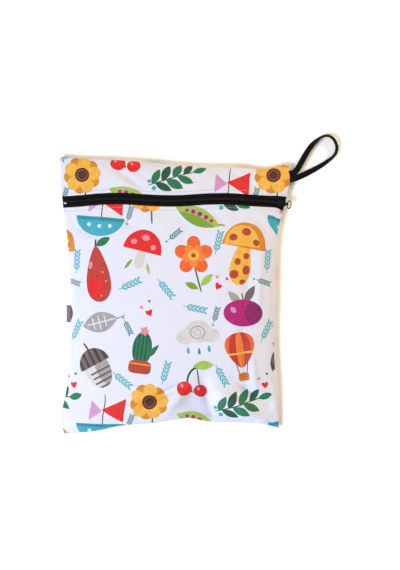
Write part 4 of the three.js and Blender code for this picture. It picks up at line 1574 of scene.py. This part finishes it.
@dataclass
class SideLabel:
    """Folded satin tab in the left seam."""

    free: float = 5 * MM  # length of the tab that is free to curl
    curl: float = 0.5 * MM
    curl_waves: float = 3.1  # radians of the curl's wave along the tab
    curl_start: float = 0.4

    def build(self) -> Object:
        """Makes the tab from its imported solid, softened, with the curl of folded satin.

        Returns:
            The finished piece.
        """
        mesh = merged_copy("side_label")
        join_quads(mesh)
        bmesh.ops.subdivide_edges(mesh, edges=mesh.edges, cuts=3, use_grid_fill=True)
        piece = make_object("satin_tab", mesh)
        low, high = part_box("side_label")
        for vertex in piece.data.vertices:
            out = smooth(low.x + self.free - vertex.co.x, 0, self.free)
            along = (vertex.co.y - low.y) / (high.y - low.y)
            vertex.co.z -= out * self.curl * math.sin(self.curl_waves * along + self.curl_start)
        place_of = {v.index: (v.co.y, v.co.x) for v in piece.data.vertices}
        lay_map(piece, place_of)
        return hand_over(piece, "side_label", [LABEL_SATIN.build()])


@dataclass
class Topstitch:
    """Two rows of stitches that hold the cloth to the zip."""

    chain: ChainLine
    cloth: list[Object]
    from_chain: tuple[float, float]
    pitch: float = 3.2 * MM
    length: float = 2.5 * MM
    thread: float = 0.2 * MM
    ray_from: float = 100 * MM  # height over the bag where rays start down to the cloth

    def build(self) -> Object:
        """Makes the stitches on the finished cloth.

        Returns:
            The piece that holds them all.
        """
        graph = bpy.context.evaluated_depsgraph_get()
        trees = [BVHTree.FromObject(piece, graph) for piece in self.cloth]
        low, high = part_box("zip_coil")
        whole = bmesh.new()
        count = int((high.x - low.x) / self.pitch)
        for k in range(1, count):
            for tree, side, away in zip(trees, (1, -1), self.from_chain):
                x = low.x + k * self.pitch
                foot, along, _ = self.chain.at(x)
                spot = foot + Vector((0, side * away, 0))
                spot.z = self.ray_from
                place, normal, _, _ = tree.ray_cast(spot, Vector((0, 0, -1)))
                if place is None:
                    continue
                across = normal.cross(along).normalized()
                basis = Matrix((across.cross(normal).normalized(), across, normal)).transposed()
                size = Matrix.Diagonal((self.length / 2, self.thread, self.thread, 1))
                bmesh.ops.create_uvsphere(
                    whole, u_segments=6, v_segments=4, radius=1,
                    matrix=Matrix.Translation(place) @ basis.to_4x4() @ size,
                )
        piece = make_object("zip_topstitch", whole)
        return hand_over(piece, None, [SEWING_THREAD.build()])


@dataclass
class WetBag:
    """The whole bag: cloth panels, zip, hang loop and side label."""

    hem_above: float = 12.2 * MM
    hem_below: float = 11.4 * MM
    no_hem: float = 1.0
    # Name, start, end, half width and rise of each fold, in millimetres on the plan
    front_folds: tuple[Fold, ...] = (
        Fold("left crease of the bottom dent", (-72, -156), (-24, -131), 5, -7.5),
        Fold("left facet of the bottom dent", (-42, -166), (-14, -134), 9, 4.6),
        Fold("middle of the bottom dent", (5, -125), (16, -164), 13, -12.5),
        Fold("right ridge of the bottom dent", (20, -136), (82, -178), 10, 8.0),
        Fold("hollow beside the right ridge", (44, -124), (90, -156), 9, -6.2),
        Fold("fold over the left corner", (-118, -150), (-72, -164), 8, 2.6),
        Fold("pucker under the zip, far left", (-163, 74), (-124, 59), 4.5, -2.3),
        Fold("swell under the zip, left", (-141, 90), (-105, 75), 6, 2.2),
        Fold("pucker under the zip, left", (-104, 92), (-82, 68), 4.6, -2.8),
        Fold("swell under the zip, middle", (-64, 92), (-40, 69), 6, 2.3),
        Fold("pucker under the zip, middle", (-31, 90), (-12, 68), 4.4, -2.8),
        Fold("second pucker, middle", (-9, 93), (8, 76), 4.2, -2.4),
        Fold("pucker under the zip, right", (18, 94), (38, 72), 4.4, -2.5),
        Fold("second pucker, right", (38, 95), (56, 83), 4.2, -2.4),
        Fold("third pucker, right", (52, 95), (72, 82), 4.2, -2.2),
        Fold("pucker at the right seam", (68, 93), (86, 68), 4.8, -2.8),
        Fold("swell between the puckers, right", (56, 88), (82, 58), 7, 1.8),
        Fold("upper valley at the right side", (67, 60), (62, -22), 6, -2.6),
        Fold("upper ridge at the right side", (81, 56), (75, -48), 6, 2.6),
        Fold("lower valley at the right side", (56, -58), (61, -136), 6, -2.6),
        Fold("lower ridge at the right side", (66, -78), (74, -144), 6, 3.2),
        Fold("upper swell at the left side", (-146, 20), (-138, -46), 9, 2.0),
        Fold("lower swell at the left side", (-142, -78), (-128, -128), 9, 2.3),
        Fold("faint fold across the middle", (-96, -74), (-34, -96), 9, -1.4),
    )
    top_folds: tuple[Fold, ...] = (
        Fold("first streak at the left", (-108, 147), (-76, 126), 4.2, -2.3),
        Fold("second streak at the left", (-92, 153), (-64, 134), 4.2, -1.9),
        Fold("swell at the left", (-134, 144), (-112, 126), 6, 1.7),
        Fold("streak in the middle", (-18, 150), (4, 126), 4.5, -1.9),
        Fold("swell in the middle", (2, 150), (26, 128), 6, 1.6),
        Fold("first streak at the right", (42, 146), (74, 124), 5, -2.5),
        Fold("second streak at the right", (66, 150), (92, 132), 4.2, -1.8),
    )

    def build(self) -> None:
        """Makes the bag's pieces in order."""
        cloth = PrintedKnit().build()
        film = LaminateFilm().build()
        chain = ChainLine()
        front = ClothPanel(
            "front_cloth", "front_panel", Side.UP, 2, self.front_folds,
            print_offset=(0.036, 0.012), pucker=1.1 * MM, swell=1.1 * MM,
            spare=0.035, seed=3, hem=self.hem_below,
        )
        top = ClothPanel(
            "top_cloth", "top_panel", Side.UP, 2, self.top_folds,
            print_offset=(0.121, 0.098), pucker=1.0 * MM, swell=0.9 * MM,
            spare=0.03, seed=5, hem=self.hem_above,
        )
        back = ClothPanel(
            "back_cloth", "back_panel", Side.DOWN, 2,
            print_offset=(0.02, 0.05), seed=7, hem=self.no_hem,
        )
        front.build(cloth, film, chain)
        top.build(cloth, film, chain)
        back.build(cloth, film, chain)
        Zip(chain).build()
        HangLoop().build()
        SideLabel().build()
        Topstitch(chain, [top.piece, front.piece], (self.hem_above, self.hem_below)).build()


@dataclass
class Studio:
    """Pale floor, soft lights and the camera straight above."""

    height: float = 1.35
    frame_tall: float = 0.7484  # what the photograph's long side covers on the floor
    aim: tuple[float, float] = (0.66 * MM, -1.31 * MM)

    def build(self) -> None:
        """Sets up the floor, the lights and the camera."""
        self.floor()
        self.light("key", (-1.7, -1.1, 1.8), 1.0, 84, "#FCFCFF")
        self.light("fill", (1.75, 1.5, 0.85), 1.3, 62, "#FFDFAA")
        self.light("top", (0.2, 0.4, 2.6), 2.2, 5, "#FFFFFF")
        world = bpy.data.worlds.new("studio")
        world.use_nodes = True
        tree = world.node_tree
        tree.nodes.clear()
        sky = add_node(tree, "Background", inputs={0: linear("#F4F6FF"), 1: 0.27})
        add_node(tree, "OutputWorld", inputs={0: sky.outputs[0]})
        bpy.context.scene.world = world
        bpy.context.scene.view_settings.view_transform = "Standard"
        self.camera()

    def floor(self) -> None:
        """Makes the floor, a wide sheet of white paper."""
        mesh = bmesh.new()
        bmesh.ops.create_grid(mesh, x_segments=2, y_segments=2, size=6)
        piece = make_object("floor", mesh)
        material, tree = start_material("white_paper")
        place = add_node(tree, "TexCoord").outputs["Object"]
        tooth = add_node(tree, "TexNoise", inputs={"Vector": place, "Scale": 900.0})
        bump = {"Height": tooth.outputs[0], "Strength": 0.05, "Distance": 0.1 * MM}
        piece.data.materials.append(surfaced(material, {
            "Base Color": linear("#FFFFFF"),
            "Roughness": 0.9,
            "Normal": add_node(tree, "Bump", inputs=bump).outputs[0],
        }))

    def light(
        self, name: str, place: tuple[float, float, float], size: float, power: float, colour: str
    ) -> None:
        """Adds a soft square light that points at the bag.

        Args:
            name: Name of the light.
            place: Its place, in metres.
            size: Length of its side, in metres.
            power: Its power, in watts.
            colour: Its colour as sRGB hex.
        """
        data = bpy.data.lights.new(name, "AREA")
        data.size = size
        data.energy = power
        data.color = linear(colour)[:3]
        lamp = bpy.data.objects.new(name, data)
        lamp.location = place
        lamp.rotation_euler = (-Vector(place)).to_track_quat("-Z", "Y").to_euler()
        bpy.context.scene.collection.objects.link(lamp)

    def camera(self) -> None:
        """Sets the camera straight above the bag."""
        data = bpy.data.cameras.new("camera")
        data.sensor_width = 36.0
        data.lens = data.sensor_width * self.height / self.frame_tall
        eye = bpy.data.objects.new("camera", data)
        eye.location = (self.aim[0], self.aim[1], self.height)
        bpy.context.scene.collection.objects.link(eye)
        bpy.context.scene.camera = eye


def main() -> None:
    """Builds the bag and its studio."""
    logging.basicConfig(level=logging.INFO, format="%(name)s %(message)s")
    WetBag().build()
    Studio().build()


if __name__ == "__main__":
    main()
